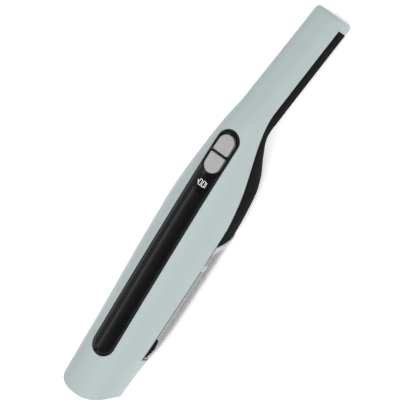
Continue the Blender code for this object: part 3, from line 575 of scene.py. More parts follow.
def paint_frame():
    """Every CAD node that stays takes the detailed material of its slot."""
    slots = sorted((m["slot"] for m in frame["record"]["materials"]), key=len, reverse=True)
    for obj in frame["nodes"].values():
        for holder in obj.material_slots:
            held = holder.material.name if holder.material else ""
            holder.material = PAINT[next((s for s in slots if held.startswith(s)), "inner_plastic")]


# ---------------------------------------------------------------- upper shell
def hole_ring(loop, half, x0, x1):
    """For each point of a loop round the strip, the matching point on the slot's outline."""
    count = len(loop)
    out = [(x, math.copysign(half, y)) if x0 + half <= x <= x1 - half else None for x, y in loop]
    for k in range(count):
        if out[k] or not out[k - 1]:
            continue
        # a run past the straight sides shares the end arc by its distance along the loop
        run = [k]
        while out[(run[-1] + 1) % count] is None:
            run.append((run[-1] + 1) % count)
        before, after = k - 1, (run[-1] + 1) % count
        chain = [loop[i] for i in (before, *run, after)]
        lengths = [0.0]
        for a, b in zip(chain, chain[1:]):
            lengths.append(lengths[-1] + math.dist(a, b))
        (xa, ya), (xb, yb) = out[before], out[after]
        way = 1 if loop[run[len(run) // 2]][0] > (x0 + x1) / 2 else -1
        centre = x1 - half if way > 0 else x0 + half
        lead = abs(centre - xa)
        total = lead + math.pi * half + abs(centre - xb)
        for index, length in zip(run, lengths[1:-1]):
            along = length / lengths[-1] * total
            a = (along - lead) / half
            if a < 0:
                out[index] = (xa + way * along, ya)
            elif a > math.pi:
                out[index] = (xb + way * (total - along), yb)
            else:
                out[index] = (centre + way * half * math.sin(a), ya * math.cos(a))
    return out


def strip_hole(bm, edge, inset):
    """Fill from the grid's open block to the strip's hole, with a soft lip on the outer skin."""
    plan = [((v.co.x - SHIFT) / MM, v.co.y / MM) for v in edge]
    slot = hole_ring(plan, STRIP_HALF, STRIP_START, STRIP_END)
    rings = [edge]
    for share in ((0.3, 0.6, 0.85) if inset else (0.3, 0.55, 0.76, 0.9)):
        between = [[(1 - share) * a + share * b for a, b in zip(p, q)] for p, q in zip(plan, slot)]
        rings.append(verts(bm, [top_point(*p, 0.0, inset) for p in between]))
    for out, drop in [(0.0, 0.0)] if inset else [(0.55, 0.0), (0.30, 0.06), (0.12, 0.20), (0.0, 0.46)]:
        rings.append(verts(bm, [top_point(*widen(p, out), drop, inset) for p in slot]))
    for a, b in zip(rings, rings[1:]):
        bridge(bm, a, b, True)
    return rings[-1]


def shell_rows(inset):
    """Rows of the upper shell from the mouth to the end: (row, has a lower half, inset)."""
    rows = [(leaning(mouth_face, f, NOSE_END), True, inset) for f in spread(0.0, 1.0, MOUTH_ROWS)]
    rows += [(straight(s), False, inset) for s in steps(NOSE_END, CAP_START, 2.3)[1:-1]]
    rows += [(straight(s), True, inset) for s in steps(CAP_START, AXIS_END - END_ROUND, 1.8)]
    radius = END_ROUND - inset
    for a in quarter(7)[1:]:
        s = AXIS_END - inset - radius * (1 - math.sin(a))
        rows.append((straight(s), True, inset + radius * (1 - math.cos(a))))
    return rows


def shell_skin(bm, inset):
    """Outer or inner skin of the upper shell: its upper rows, its lower rows and the hole's edge."""
    rows = shell_rows(inset)
    upper = [verts(bm, arc(row, True, depth)) for row, _, depth in rows]
    lower = [verts(bm, arc(row, False, depth)) if low else None for row, low, depth in rows]
    # the block of the grid that the strip's hole replaces
    middle = [(row[UPPER_COUNT // 2].co.x - SHIFT) / MM for row in upper]
    i0 = max(i for i, x in enumerate(middle) if x < STRIP_START - 6)
    i1 = min(i for i, x in enumerate(middle) if x > STRIP_END + 6)
    widest = upper[(i0 + i1) // 2]
    j0 = max(j for j in range(UPPER_COUNT // 2) if widest[j].co.y / MM > STRIP_HALF + 5)
    j1 = UPPER_COUNT - j0
    for i in range(len(upper) - 1):
        for j in range(UPPER_COUNT):
            if not (i0 <= i < i1 and j0 <= j < j1):
                face(bm, (upper[i][j], upper[i][j + 1], upper[i + 1][j + 1], upper[i + 1][j]))
        if lower[i] and lower[i + 1]:
            bridge(bm, lower[i], lower[i + 1])
    face(bm, upper[-1] + lower[-1][-2:0:-1])
    edge = ([upper[i][j0] for i in range(i0, i1)] + [upper[i1][j] for j in range(j0, j1)]
            + [upper[i][j1] for i in range(i1, i0, -1)] + [upper[i0][j] for j in range(j1, j0, -1)])
    return upper, lower, strip_hole(bm, edge, inset)


def upper_shell():
    bm = bmesh.new()
    (up_out, low_out, hole_out), (up_in, low_in, hole_in) = [shell_skin(bm, inset) for inset in (0.0, WALL)]
    bridge(bm, hole_out, hole_in, True)
    # the mouth's rim, the nose's rear edge, the cap's front edge and the parting edges between them
    cap = next(i for i in range(MOUTH_ROWS + 1, len(low_out)) if low_out[i])
    bridge(bm, up_out[0], up_in[0])
    for i in (0, MOUTH_ROWS, cap):
        bridge(bm, low_out[i], low_in[i])
    for side in (0, -1):
        outer, inner = ([row[side] for row in rows[MOUTH_ROWS:cap + 1]] for rows in (up_out, up_in))
        bridge(bm, outer, inner)
    shell = new_piece("upper_shell_skin", bm, "housing", "sage_shell", ["upper_shell"],
                      bevel=0.42, segments=3)
    carve(shell, socket_cutter())


def widen(point, out):
    """Move a point of the strip's outline outwards by out."""
    x, y = point
    centre = min(max(x, STRIP_START + STRIP_HALF), STRIP_END - STRIP_HALF)
    dx, dy = x - centre, y
    length = math.hypot(dx, dy)
    return x + dx / length * out, y + dy / length * out


# ---------------------------------------------------------------- lower shells and the cup
def black_shell(name, rows, screw_holes, *cutters):
    """Black shell round the underside, cut for its screws and with a sleeve round each hole."""
    bm = bmesh.new()
    wrap(bm, *[[verts(bm, arc(row, False, inset, GAP)) for row in rows] for inset in (WALL, 0.0)])
    shell = new_piece(f"{name}_skin", bm, "housing", "black_shell", [name], bevel=0.35)
    tools, sleeves = list(cutters), bmesh.new()
    for place, start, end, skin_at, floor in screw_holes:
        tools.append(bmesh.new())
        turned(tools[-1], place, [(start, HEAD_HOLE), (end, HEAD_HOLE)], 32)
        sleeve(sleeves, place, skin_at, floor)
    carve(shell, *tools)
    add_mesh(shell, sleeves)


def motor_shell():
    """Black shell from the cup's slanted rear to the handle, with vents."""
    def hole(side):
        x, y = SHELL_SCREW[0], side * SHELL_SCREW[1]
        return upright(x, y), -1.0, 24.0, lambda u, v: AXIS_Z + underside(x + u, y + v, 1.0), 25.9
    rows = [leaning(lambda z: rear_plane(z) + GAP, f, MOTOR_BLEND) for f in spread(0.0, 1.0, 14)]
    rows += [straight(s) for s in steps(MOTOR_BLEND, COVER_START - GAP / 2, 2.2)[1:]]
    black_shell("motor_shell", rows, [hole(-1), hole(1)], vent_cutter())


def battery_cover():
    """Black cover along the underside of the handle."""
    def hole(side, s):
        y = side * COVER_SCREW_Y
        return across_handle(s, y), -25.0, -11.0, lambda u, v: min(underside(s + u, y + v, 1.0), -10.0), -9.7
    rows = [straight(s) for s in steps(COVER_START + GAP / 2, CAP_START - GAP, 2.2)]
    black_shell("battery_cover", rows, [hole(side, s) for side in (-1, 1) for s in COVER_SCREWS])


def dust_cup():
    """Clear bin: rounded front wall, open top, slanted rear and openings for the latch grips."""
    bm = bmesh.new()
    skins = []
    for inset, front, radius in ((0.0, CUP_FRONT, 3.0), (WALL, CUP_FRONT + 2.4, 2.4)):
        rows = [(straight(front + radius * (1 - math.cos(a))), inset + radius * (1 - math.sin(a)) * 0.8)
                for a in quarter(6)]
        rows += [(straight(s), inset) for s in steps(front + radius, CUP_BLEND, 2.4)[1:]]
        rows += [(leaning(rear_plane, 1 - f, CUP_BLEND), inset) for f in spread(0.0, 1.0, 12)[1:]]
        skin = [verts(bm, arc(row, False, depth, GAP)) for row, depth in rows]
        grid(bm, skin)
        face(bm, skin[0])
        skins.append(skin)
    outer, inner = skins
    bridge(bm, outer[-1], inner[-1])
    rim = [row[0] for row in reversed(outer)] + [row[-1] for row in outer]
    rim += [row[-1] for row in reversed(inner)] + [row[0] for row in inner]
    face(bm, rim)
    cup = new_piece("dust_cup_clear", bm, "dust_cup", "clear_cup", ["dust_cup"], bevel=0.3)
    carve(cup, latch_cutter(-1), latch_cutter(1))


def cup_flange():
    """Frosted band round the cup's slanted rear, with a narrow bead at its edge."""
    bm = bmesh.new()
    for near, far, low, high in ((7.4, 0.2, 0.1, 0.55), (1.4, 0.0, 0.3, 0.9)):
        skins = []
        for rise, soft, floor in ((-low, 0.0, 0.12), (high, 0.35, 0.02)):
            rows = [lambda z, back=back: rear_plane(z) - back for back in spread(near - soft, far + soft, 6)]
            skins.append([verts(bm, [(x, y, max(z, floor)) for x, y, z in arc(row, False, -rise, GAP + 0.6)])
                          for row in rows])
        wrap(bm, *skins)
    new_piece("dust_cup_flange", bm, "dust_cup", "clear_cup", paint="frosted", bevel=0.12)


def cup_clips():
    """Small frosted plate with a raised middle under the rim, on both sides."""
    bm = bmesh.new()
    for side in (-1, 1):
        for x0, x1, top, bottom, rise in ((156.6, 163.4, 46.4, 40.2, 0.7), (158.2, 161.8, 44.8, 41.8, 1.1)):
            faces = []
            for out, soft in ((-0.2, 0.0), (rise, 0.3)):
                heights = spread(top - soft, bottom + soft, 5)
                faces.append([verts(bm, [beside(side, x, z, out) for z in heights])
                              for x in spread(x0 + soft, x1 - soft, 5)])
            wrap(bm, *faces)
    new_piece("dust_cup_clips", bm, "dust_cup", "clear_cup", paint="frosted", bevel=0.12)


def cup_seam():
    """Dark seal between the cup's rim and the shell, on both sides."""
    bm = bmesh.new()
    top, bottom = PARTING_Z - 0.25, PARTING_Z - 0.95
    corners = ((top, -2.0), (top, 0.12), (bottom, 0.12), (bottom, -2.0))
    for side in (-1, 1):
        tube(bm, [verts(bm, [beside(side, x, z, out) for z, out in corners])
                  for x in steps(CUP_FRONT + 1.0, rear_plane(PARTING_Z) - 0.6, 2.4)])
    new_piece("dust_cup_seam", bm, "dust_cup", "clear_cup", paint="rubber")


# ---------------------------------------------------------------- plates with an outline
def capsule_half(x0, x1, half, along=2.0):
    """Upper half of a slot's outline, from its front tip to its rear tip."""
    front = [(x0 + half - half * math.cos(a), half * math.sin(a)) for a in quarter(16)]
    rear = [(x1 - half + half * math.sin(a), half * math.cos(a)) for a in quarter(16)]
    return front + [(x, half) for x in steps(x0 + half, x1 - half, along)[1:-1]] + rear


def inset_half(outline, inset):
    """Move a half outline inwards along its own normals; its tips stay on the centre line."""
    if not inset:
        return list(outline)
    moved = []
    last = len(outline) - 1
    for i, (x, y) in enumerate(outline):
        (xa, ya), (xb, yb) = outline[max(i - 1, 0)], outline[min(i + 1, last)]
        if i == 0:
            xa, ya = xb, -yb
        if i == last:
            xb, yb = xa, -ya
        dx, dy = xb - xa, yb - ya
        length = math.hypot(dx, dy)
        moved.append((x + dy / length * inset, max(y - dx / length * inset, 0.0)))
    return moved


def pad(bm, outline, layers, rungs=8, base=top_point):
    """Closed solid from layers of (inset, drop), each a copy of the outline, capped at both ends."""
    rings = []
    for inset, drop in layers:
        half = inset_half(outline, inset)
        right = verts(bm, [base(x, y, drop) for x, y in half])
        left = verts(bm, [base(x, -y, drop) for x, y in half[1:-1]])
        rings.append((right, [right[0], *left, right[-1]], half, drop))
    for (right_a, left_a, _, _), (right_b, left_b, _, _) in zip(rings, rings[1:]):
        bridge(bm, right_a, right_b)
        bridge(bm, left_b, left_a)
    for right, left, half, drop in (rings[0], rings[-1]):
        columns = [[right[0]] * (rungs + 1)]
        for (x, y), a, b in list(zip(half, right, left))[1:-1]:
            across = [base(x, y * (1 - 2 * r / rungs), drop) for r in range(1, rungs)]
            columns.append([a, *verts(bm, across), b])
        grid(bm, columns + [[right[-1]] * (rungs + 1)])


def control_panel():
    """Glossy tray: flush lip, sloped wall, fillet and a floor that follows the crown."""
    bm = bmesh.new()
    outline = capsule_half(STRIP_START + GAP, STRIP_END - GAP, STRIP_HALF - GAP)
    layers = [(0.0, 4.9), (0.0, 0.62), (0.06, 0.46), (0.2, 0.36), (0.7, 0.30), (0.95, 0.36), (1.15, 0.55),
              (2.2, 2.02), (2.45, 2.28), (2.8, 2.44), (3.3, STRIP_DEPTH)]
    pad(bm, outline, layers, rungs=14)
    tray = new_piece("control_panel_gloss", bm, "housing", "gloss_panel", ["control_panel"])
    carve(tray, *panel_cutters(), sharp=50)


def turned(bm, place, profile, sides=24, looped=False):
    """Turn a profile of (along, radius) about a line; place(along, u, v) gives the point."""
    rings = [[place(along, u, v) for u, v in circle(sides, radius)] for along, radius in profile]
    tube(bm, [verts(bm, ring) for ring in rings], looped)


def upright(x, y):
    """Placing function for something turned about a vertical line."""
    return lambda along, u, v: (x + u, y + v, along)


def lengthways(y, z):
    """Placing function for something turned about a line along the body."""
    return lambda along, u, v: (along, y + u, z + v)


def across_handle(s, y):
    """Placing function for something turned about a line square to the handle."""
    def place(along, u, v):
        x, z = in_handle(s + u, along)
        return x, y + v, z
    return place


def along_handle(along, u, v):
    """Placing function for something that runs along the handle's centre line."""
    x, z = in_handle(along, v)
    return x, u, z


def capsule_section(half_u, half_v):
    """Cross-section of a flat slot with round sides, as (u, v) points."""
    points = []
    for side in (1, -1):
        for a in spread(-math.pi / 2, math.pi / 2, 8):
            points.append((side * (half_u - half_v + half_v * math.cos(a)), side * half_v * math.sin(a)))
    return points


def slotted(bm, sections):
    """Solid along the handle through sections of (station, outline)."""
    tube(bm, [verts(bm, [along_handle(s, u, v) for u, v in outline]) for s, outline in sections])


# ---------------------------------------------------------------- keys and read-out
def flat_crown(x, y, drop):
    """Point a drop below the crown line, level across the body."""
    return x, y, top_point(x, 0.0, drop)[2]


def key_half(direction):
    """Half outline of a D-shaped key, flat towards the split, with small round corners."""
    flat, corner = BUTTON_SPLIT + direction * 1.3, 1.3
    centre = BUTTON_SPLIT + direction * (BUTTON_REACH - BUTTON_HALF)
    points = [(centre + direction * BUTTON_HALF * math.cos(a), BUTTON_HALF * math.sin(a))
              for a in quarter(18)]
    points += [(x, BUTTON_HALF) for x in steps(centre, flat + direction * corner, 1.6)[1:-1]]
    points += [(flat + direction * corner * (1 - math.sin(a)), BUTTON_HALF - corner * (1 - math.cos(a)))
               for a in quarter(6)]
    points += [(flat, y) for y in steps(BUTTON_HALF - corner, 0.0, 1.2)[1:]]
    return points if direction < 0 else points[::-1]


def keys():
    layers = [(0.0, 3.7), (0.0, -0.05), (0.08, -0.30), (0.24, -0.50), (0.5, -0.64), (0.9, -0.71),
              (1.6, -BUTTON_PROUD)]
    for name, direction in (("mode_button", -1), ("power_button", 1)):
        bm = bmesh.new()
        pad(bm, key_half(direction), layers, base=dished)
        x = BUTTON_SPLIT + direction * 10.5
        top = flat_crown(x, 0.0, 3.5)[2]
        turned(bm, upright(x, 0.0), [(top - 5.0, 1.7), (top - 4.7, 2.0), (top, 2.0)], 16)
        new_piece(f"{name}_key", bm, name, "silver_key", [name])


def dished(x, y, drop):
    """Key surface: the flat crown with a shallow finger dish round each key's middle."""
    centre = BUTTON_SPLIT + math.copysign(9.5, x - BUTTON_SPLIT)
    hollow = 0.22 * max(0.0, 1 - ((x - centre) / 8.5) ** 2 - (y / 7.5) ** 2) if drop < -0.7 else 0.0
    return flat_crown(x, y, drop + hollow)


def stroke(bm, path, width, base, closed=False):
    """Thin raised line of constant width along plan points; base(x, y, rise) is the surface it lies on."""
    last = len(path) - 1
    rows = []
    for i, (x, y) in enumerate(path):
        xa, ya = path[i - 1 if i or closed else 0]
        xb, yb = path[i + 1 if i < last else 0 if closed else last]
        length = math.hypot(xb - xa, yb - ya)
        u, v = (ya - yb) / length * width / 2, (xb - xa) / length * width / 2
        rows.append(verts(bm, [base(x + side * u, y + side * v, rise)
                               for side, rise in ((1, 0.0), (1, PRINT_RISE), (-1, PRINT_RISE), (-1, 0.0))]))
    tube(bm, rows, closed)


def icons():
    """A power sign on the rear key and a fan sign on the front one, printed a shade darker."""
    def on_key(x, y, rise):
        px, py, pz = dished(x, y, -BUTTON_PROUD)
        return px, py, pz + rise
    x = BUTTON_SPLIT + 10.0
    bm = bmesh.new()
    angles = spread(math.pi + math.radians(38), math.pi + math.radians(322), 30)
    stroke(bm, [(x + 2.6 * math.cos(a), 2.6 * math.sin(a)) for a in angles], 0.55, on_key)
    stroke(bm, [(x - 3.2, 0.0), (x - 1.6, 0.0), (x - 0.2, 0.0)], 0.55, on_key)
    new_piece("power_sign", bm, "power_button", "silver_key", paint="key_print")
    x = BUTTON_SPLIT - 10.0
    bm = bmesh.new()
    for blade in range(3):
        turn = 2 * math.pi * blade / 3
        stroke(bm, [(x + r * math.cos(turn + 0.30 * r), r * math.sin(turn + 0.30 * r))
                    for r in spread(0.5, 2.95, 7)], 0.6, on_key)
    new_piece("fan_sign", bm, "mode_button", "silver_key", paint="key_print")


PRINT_RISE = 0.06


def read_out():
    """Seven-segment figures and a percent sign, which read from the handle end."""
    height, width, line, thin = 5.6, 2.6, 0.36, 0.2
    centre_x = (WINDOW[0] + WINDOW[1]) / 2

    def place(u, v):
        """u to the reader's right (+Y), v up (towards the mouth)."""
        return centre_x - v, u

    def bar(u0, v0, u1, v1, thickness=line):
        path = [place(u0 + (u1 - u0) * t, v0 + (v1 - v0) * t) for t in (0.0, 0.5, 1.0)]
        stroke(bm, path, thickness, on_window)

    def on_window(x, y, rise):
        px, py, pz = top_point(x, y, STRIP_DEPTH - 0.03)
        return px, py, pz + rise

    bm = bmesh.new()
    h, w, gap = height / 2, width / 2, 0.12
    segments = {"a": (-w + gap, h, w - gap, h), "b": (w, h - gap, w, gap), "c": (w, -gap, w, -h + gap),
                "d": (-w + gap, -h, w - gap, -h), "e": (-w, -gap, -w, -h + gap), "f": (-w, h - gap, -w, gap)}
    for lit, u in (("bc", -6.0), ("abcdef", -2.2), ("abcdef", 1.9)):
        for key in lit:
            u0, v0, u1, v1 = segments[key]
            bar(u + u0, v0, u + u1, v1)
    bar(4.0, -0.9, 5.0, 0.9, thin)
    for u, v in ((4.1, 0.8), (4.9, -0.8)):
        stroke(bm, [place(u + du, v + dv) for du, dv in circle(12, 0.32)], thin, on_window, closed=True)
    new_piece("read_out_figures", bm, "housing", "smoked_window", paint="figures")


def display_window():
    x0, x1, half = WINDOW
    bm = bmesh.new()
    edge = ((0.0, 1.4), (0.0, 0.1), (0.08, 0.02), (0.25, 0.0))
    pad(bm, capsule_half(x0 + GAP, x1 - GAP, half - GAP, 1.5),
        [(inset, STRIP_DEPTH + drop) for inset, drop in edge])
    new_piece("display_window_gloss", bm, "housing", "smoked_window", ["display_window"])


def panel_cutters():
    """Openings in the tray for the read-out and the two keys, with a web left between the keys."""
    outlines = [(capsule_half(*WINDOW, 3.0), 0.0)] + [(key_half(direction), -GAP) for direction in (-1, 1)]
    made = []
    for outline, inset in outlines:
        bm = bmesh.new()
        pad(bm, outline, [(inset, 9.0), (inset, -6.0)], rungs=2, base=flat_crown)
        made.append(bm)
    return made


# ---------------------------------------------------------------- latches
LATCH_X, LATCH_TOP = (57.3, 78.0), 45.3
RIBS, RIB_PITCH = (62.5, 76.5), 1.75


def latch_depth(x):
    """Height of a grip at x: it tapers towards both ends."""
    share = min(max((x - LATCH_X[0]) / (LATCH_X[1] - LATCH_X[0]), 0.0), 1.0)
    return 1.9 + 7.4 * math.sin(math.pi * (0.08 + 0.84 * share)) ** 0.8


def latch_cutter(side):
    """Opening in the cup's wall for a grip, with a gap all round it."""
    bm = bmesh.new()
    rings = []
    for x in spread(LATCH_X[0] - GAP, LATCH_X[1] + GAP, 40):
        top, bottom = LATCH_TOP + GAP, LATCH_TOP - latch_depth(x) - GAP
        corners = ((top, 2.0), (bottom, 2.0), (bottom, -4.0), (top, -4.0))
        rings.append(verts(bm, [beside(side, x, z, out) for z, out in corners]))
    tube(bm, rings)
    return bm


def latch(side, hand):
    """Lens-shaped grip let into the cup's side, with moulded ribs towards its rear."""
    def relief(x, share):
        """How far the grip stands proud: soft edges, and ribs over its rear two thirds."""
        edge = min(share, 1 - share) * latch_depth(x)
        soft = -0.9 * max(0.0, 1 - min(edge, x - LATCH_X[0], LATCH_X[1] - x) / 0.7) ** 2
        if not RIBS[0] < x < RIBS[1] or edge <= 0.5:
            return soft + 0.1
        wave = 0.5 - 0.5 * math.cos(2 * math.pi * (x - RIBS[0]) / RIB_PITCH)
        return soft + 0.1 + 0.42 * wave * min(1.0, (edge - 0.5) / 0.5)

    bm = bmesh.new()
    outer, inner = [], []
    for x in spread(*LATCH_X, 84):
        column = [(share, LATCH_TOP - share * latch_depth(x)) for share in spread(0.0, 1.0, 14)]
        outer.append(verts(bm, [beside(side, x, z, relief(x, share)) for share, z in column]))
        inner.append(verts(bm, [beside(side, x, z, -2.4) for _, z in column]))
    wrap(bm, inner, outer)
    name = f"latch_button_{hand}"
    new_piece(f"{name}_grip", bm, f"latch_{hand}", "black_shell", [name])


def latch_coil(side, hand):
    """Compression spring behind a grip, built at its rest length."""
    name = f"latch_spring_{hand}"
    low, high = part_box(name)
    middle = (low + high) / 2
    wire, turns, around, squeeze = 0.3 * MM, 3, 20, 2.0 * MM
    near, far = sorted((abs(low.y), abs(high.y)))
    radius = (high.x - low.x) / 2 - wire
    bm = bmesh.new()
    rings = []
    for i, y in enumerate(spread(near + wire, far - wire, turns * around)):
        a = 2 * math.pi * i / around
        rings.append([bm.verts.new((middle.x + (radius + out) * math.cos(a), side * (y + along),
                                    middle.z + (radius + out) * math.sin(a)))
                      for out, along in circle(8, wire)])
    tube(bm, rings)
    coil = new_piece(f"{name}_coil", bm, "dust_cup", "spring_steel", [name])
    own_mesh(coil)


# ---------------------------------------------------------------- vents, screws and socket
SHELL_SCREW = (268.0, 15.5)
COVER_SCREWS, COVER_SCREW_Y = (325.0, 404.0), 12.4
HEAD_HOLE = 2.8


def vent_cutter():
    """Staggered field of small round holes through both sides of the motor shell."""
    bm = bmesh.new()
    for row in range(6):
        z = 23.0 + 3.1 * row
        for column in range(13):
            x = 211.5 + 3.6 * column + (1.8 if row % 2 else 0.0)
            tube(bm, [verts(bm, [(x + u, y, z + v) for u, v in circle(10, 0.8)]) for y in (-42.0, 42.0)])
    return bm


def underside(s, y, inset):
    """Distance of the lower skin from the reference line at station s and half width y."""
    _, bottom, middle, half, power = sizes(s)
    return middle - (middle - bottom - inset) * rounding(abs(y) / (half - inset), power)


def sleeve(bm, place, skin_at, floor):
    """Tube that lines a screw hole, from just inside the skin to its floor, with a hole for the shank."""
    outer, shank = HEAD_HOLE + 0.7, 1.5
    profile = [(None, HEAD_HOLE), (floor, HEAD_HOLE), (floor, shank), (floor + 2.0, shank),
               (floor + 2.0, outer), (None, outer)]
    tube(bm, [verts(bm, [place(skin_at(u, v) if along is None else along, u, v) for u, v in circle(32, r)])
              for along, r in profile], looped=True)


def cross_head(bm, place, base):
    """Screw head below base, with a domed top and a cross recess."""
    radius, height, sides = 2.4, 1.5, 48
    rings = [verts(bm, [place(base, u, v) for u, v in circle(sides, radius)])]
    for r in spread(radius, 0.0, 5)[:-1]:
        up = height * (0.55 + 0.45 * math.sqrt(max(0.0, 1 - (r / radius) ** 2)))
        rings.append(verts(bm, [place(base - recess(u, v, up), u, v) for u, v in circle(sides, r)]))
    centre = bm.verts.new(at(*place(base - recess(0.0, 0.0, height), 0.0, 0.0)))
    tube(bm, rings + [[centre] * sides])


def recess(u, v, up):
    """Height of a screw head at (u, v): its dome, less a cross-shaped recess."""
    r = math.hypot(u, v)
    inside = min(abs(u), abs(v)) < 0.42 and r < 1.6
    return up - (0.75 * (1 - r / 2.2) if inside else 0.0)


def screws():
    for side, hand in ((-1, "left"), (1, "right")):
        made = [(f"shell_screw_{hand}", upright(SHELL_SCREW[0], side * SHELL_SCREW[1]), 25.7, 66.0)]
        for s, where in zip(COVER_SCREWS, ("front", "rear")):
            made.append((f"cover_screw_{where}_{hand}", across_handle(s, side * COVER_SCREW_Y), -9.8, 9.5))
        for name, place, base, tip in made:
            bm = bmesh.new()
            cross_head(bm, place, base)
            turned(bm, place, thread(base - 0.1, tip), 14)
            new_piece(f"{name}_cross", bm, "housing", "steel", [name])


def thread(start, end):
    """Profile of a screw's shank with V-shaped threads and a pointed tip."""
    pitch, root, crest = 1.1, 0.95, 1.2
    profile = [(start, root)]
    along = start + pitch
    while along < end - 2.5:
        profile += [(along - 0.35, root), (along, crest), (along + 0.35, root)]
        along += pitch
    return profile + [(end - 1.5, root), (end, 0.15)]


def socket_cutter():
    bm = bmesh.new()
    slotted(bm, [(AXIS_END + out, capsule_section(4.9, 2.0)) for out in (-5.0, 4.0)])
    return bm


def charge_socket():
    """Metal-lined charging socket in the handle's end, with a contact tongue inside."""
    bm = bmesh.new()
    profile = [(-9.0, 4.6), (-0.95, 4.6), (-0.8, 4.5), (-0.8, 4.3), (-1.0, 4.2), (-6.0, 4.2)]
    slotted(bm, [(AXIS_END + out, capsule_section(half, half - 2.9)) for out, half in profile])
    new_piece("charge_socket_shell", bm, "housing", "socket_metal", ["charge_socket"])
    bm = bmesh.new()
    tongue = [(-3.2, -0.3), (3.2, -0.3), (3.2, 0.3), (-3.2, 0.3)]
    slotted(bm, [(AXIS_END - 6.5, tongue), (AXIS_END - 2.2, tongue)])
    new_piece("charge_socket_tongue", bm, "housing", "socket_metal", paint="rubber", bevel=0.12)


# ---------------------------------------------------------------- filter cage
FILTER_Z, CAGE_RADIUS, CAGE_FRONT = 36.0, 19.0, 126.0


def diamonds(bm, ring_at, count, sides):
    """Diamond faces between rings whose points are staggered by half a step, as a lattice's openings."""
    rings = []
    for i in range(count):
        angles = [2 * math.pi * (k + (0.5 if i % 2 else 0.0)) / sides for k in range(sides)]
        rings.append(verts(bm, [ring_at(i / (count - 1), a) for a in angles]))
    for i in range(count - 2):
        for k in range(sides):
            left = (k if i % 2 else k - 1) % sides
            face(bm, (rings[i][k], rings[i + 1][left], rings[i + 2][k], rings[i + 1][(left + 1) % sides]))


def filter_cage():
    """Open steel cage round the pleated core: a lattice wall, a lattice front and two solid rims."""
    start = CAGE_FRONT + 2.2

    def wall(share, a):
        y, z = CAGE_RADIUS * math.cos(a), FILTER_Z + CAGE_RADIUS * math.sin(a)
        return start + (rear_plane(z) - 5.2 - start) * share, y, z

    def disc(share, a):
        radius = 2.0 + (CAGE_RADIUS - 3.4) * share
        return CAGE_FRONT + 0.4, radius * math.cos(a), FILTER_Z + radius * math.sin(a)

    bm = bmesh.new()
    diamonds(bm, wall, 41, 52)
    diamonds(bm, disc, 9, 26)
    lattice = add_object("lattice", bm)
    wires = lattice.modifiers.new("wires", "WIREFRAME")
    wires.thickness = 0.42 * MM
    wires.use_even_offset = False
    bm = bmesh.new()
    bm.from_mesh(evaluated_mesh(lattice))
    bpy.data.objects.remove(lattice)
    rim = [(0.0, -1.8), (0.0, -0.4), (0.4, 0.0), (2.4, 0.0), (2.4, -0.6), (0.8, -0.6), (0.8, -1.8)]
    hub = [(-0.1, 0.02), (-0.1, 2.2), (0.1, 2.5), (0.7, 2.5), (0.7, 0.02)]
    place = lengthways(0.0, FILTER_Z)
    turned(bm, place, [(CAGE_FRONT + x, CAGE_RADIUS + r) for x, r in rim], 96, looped=True)
    turned(bm, place, [(CAGE_FRONT + x, r) for x, r in hub], 48, looped=True)
    band = ((5.4, 0.0), (3.5, 0.0), (3.5, -0.7), (5.4, -0.7))
    tube(bm, [verts(bm, [(rear_plane(FILTER_Z + v) - back, u, FILTER_Z + v)
                         for u, v in circle(96, CAGE_RADIUS + r)]) for back, r in band], looped=True)
    new_piece("filter_mesh_lattice", bm, "filter", "mesh_steel", ["filter_mesh"])


# ---------------------------------------------------------------- inner pieces with softened edges
SOFTENED = {
    "inlet_duct": 0.35, "inlet_flap": 0.25, "filter_frame": 0.3, "filter_bulkhead": 0.3, "chamber_deck": 0.3,
    "cup_seal": 0.2, "filter_seal": 0.15, "fan_shroud": 0.3, "motor_housing": 0.4, "driver_board": 0.12,
    "control_board": 0.12, "battery_cradle": 0.25, "display_module": 0.15, "front_motor_mount": 0.3,
    "rear_motor_mount": 0.3,
}


def softened(name, width):
    """A copy of a CAD piece whose edges are rounded as moulded or stamped ones are."""
    source = frame["nodes"][name]
    bm = bmesh.new()
    bm.from_mesh(source.data)
    bmesh.ops.remove_doubles(bm, verts=bm.verts, dist=1e-6)
    bmesh.ops.dissolve_limit(bm, angle_limit=math.radians(1.0), verts=bm.verts, edges=bm.edges)
    slot = next(key for key, paint in PAINT.items() if paint is source.material_slots[0].material)
    new_piece(f"{name}_moulded", bm, source["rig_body"], slot, [name], bevel=width, bevel_angle=40.0)


# ---------------------------------------------------------------- studio
# brightness by share of the half turn from the +Y horizon over the top to the -Y horizon
SKY = [(0.0, 0.15), (0.11, 0.2), (0.14, 0.9), (0.18, 0.9), (0.22, 0.3), (0.275, 0.25), (0.283, 0.01),
       (0.289, 0.01), (0.295, 0.8), (0.36, 0.10), (0.42, 0.02), (0.60, 0.03), (0.72, 0.5), (0.82, 0.9),
       (0.87, 0.7), (0.93, 0.2), (1.0, 0.1)]
SKY_STRENGTH = 1.5
# name, place, size and power
LAMPS = [("key_light", (0.0, -0.5, 1.95), 2.3, 62), ("fill_light", (-0.9, 0.9, 1.5), 2.4, 8)]
LAMP_TARGET = Vector((0.0, 0.0, 0.04))


def floor_paint(tree, shader):
    ramp(tree, noise(tree, 3.0), [(0.3, 0.93), (0.7, 0.95)], shader.inputs["Base Color"])
    shader.inputs["Roughness"].default_value = 1.0
    shader.inputs["Specular IOR Level"].default_value = 0.0
    shader.inputs["Emission Color"].default_value = (1.0, 1.0, 1.0, 1.0)
    shader.inputs["Emission Strength"].default_value = 0.3


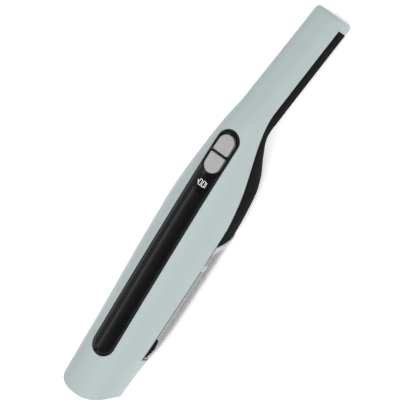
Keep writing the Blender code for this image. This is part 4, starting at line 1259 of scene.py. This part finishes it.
def sky():
    """Surroundings that are bright low down at the sides, so that the glossy strip shows soft bands."""
    world = bpy.data.worlds.new("studio")
    bpy.context.scene.world = world
    world.use_nodes = True
    tree = world.node_tree
    background = tree.nodes["Background"]
    background.inputs["Strength"].default_value = SKY_STRENGTH
    place = node(tree, "ShaderNodeTexCoord")
    split = node(tree, "ShaderNodeSeparateXYZ")
    turn = node(tree, "ShaderNodeMath", operation="ARCTAN2")
    share = node(tree, "ShaderNodeMath", operation="DIVIDE")
    share.inputs[1].default_value = math.pi
    tree.links.new(place.outputs["Generated"], split.inputs["Vector"])
    tree.links.new(split.outputs["Z"], turn.inputs[0])
    tree.links.new(split.outputs["Y"], turn.inputs[1])
    tree.links.new(turn.outputs[0], share.inputs[0])
    ramp(tree, share.outputs[0], [(p, v / SKY_STRENGTH) for p, v in SKY], background.inputs["Color"])


def studio():
    """A plain pale floor, the surroundings and two soft lamps."""
    bpy.context.scene.view_settings.view_transform = "Standard"
    bm = bmesh.new()
    bmesh.ops.create_circle(bm, cap_ends=True, segments=96, radius=4.0)
    floor = add_object("floor", bm)
    floor.data.materials.append(material("floor", floor_paint))
    sky()
    for name, location, size, power in LAMPS:
        data = bpy.data.lights.new(name, "AREA")
        data.shape = "DISK"
        data.size = size
        data.energy = power
        lamp = bpy.data.objects.new(name, data)
        lamp.location = location
        lamp.rotation_euler = (LAMP_TARGET - Vector(location)).to_track_quat("-Z", "Y").to_euler()
        lamp.visible_glossy = False
        lamp.visible_transmission = False
        bpy.context.scene.collection.objects.link(lamp)


def camera():
    """Long lens, from above and to one side, rolled so that the mouth is at the lower left."""
    view = Vector((0.191, -0.399, 0.897)).normalized()
    along = Vector((0.9816, 0.0777, -0.1745))
    across = Vector((0.0, -0.9135, -0.4067))
    roll = math.radians(58.45)
    up = math.sin(roll) * along - math.cos(roll) * across
    up = (up - up.dot(view) * view).normalized()
    aim = Vector((SHIFT + 0.165, 0.0, 0.0779)) + 0.0495 * along + 0.01755 * across
    data = bpy.data.cameras.new("camera")
    data.lens = 400.0
    data.sensor_width = 36.0
    data.clip_end = 20.0
    obj = bpy.data.objects.new("camera", data)
    place = Matrix((up.cross(view).normalized(), up, view)).transposed().to_4x4()
    place.translation = aim + view * 4.312
    obj.matrix_world = place
    bpy.context.scene.collection.objects.link(obj)
    bpy.context.scene.camera = obj


paint_frame()
upper_shell()
motor_shell()
battery_cover()
dust_cup()
cup_flange()
cup_clips()
cup_seam()
control_panel()
display_window()
read_out()
keys()
icons()
for side, hand in ((-1, "left"), (1, "right")):
    latch(side, hand)
    latch_coil(side, hand)
screws()
charge_socket()
filter_cage()
for piece, width in SOFTENED.items():
    softened(piece, width)
studio()
camera()
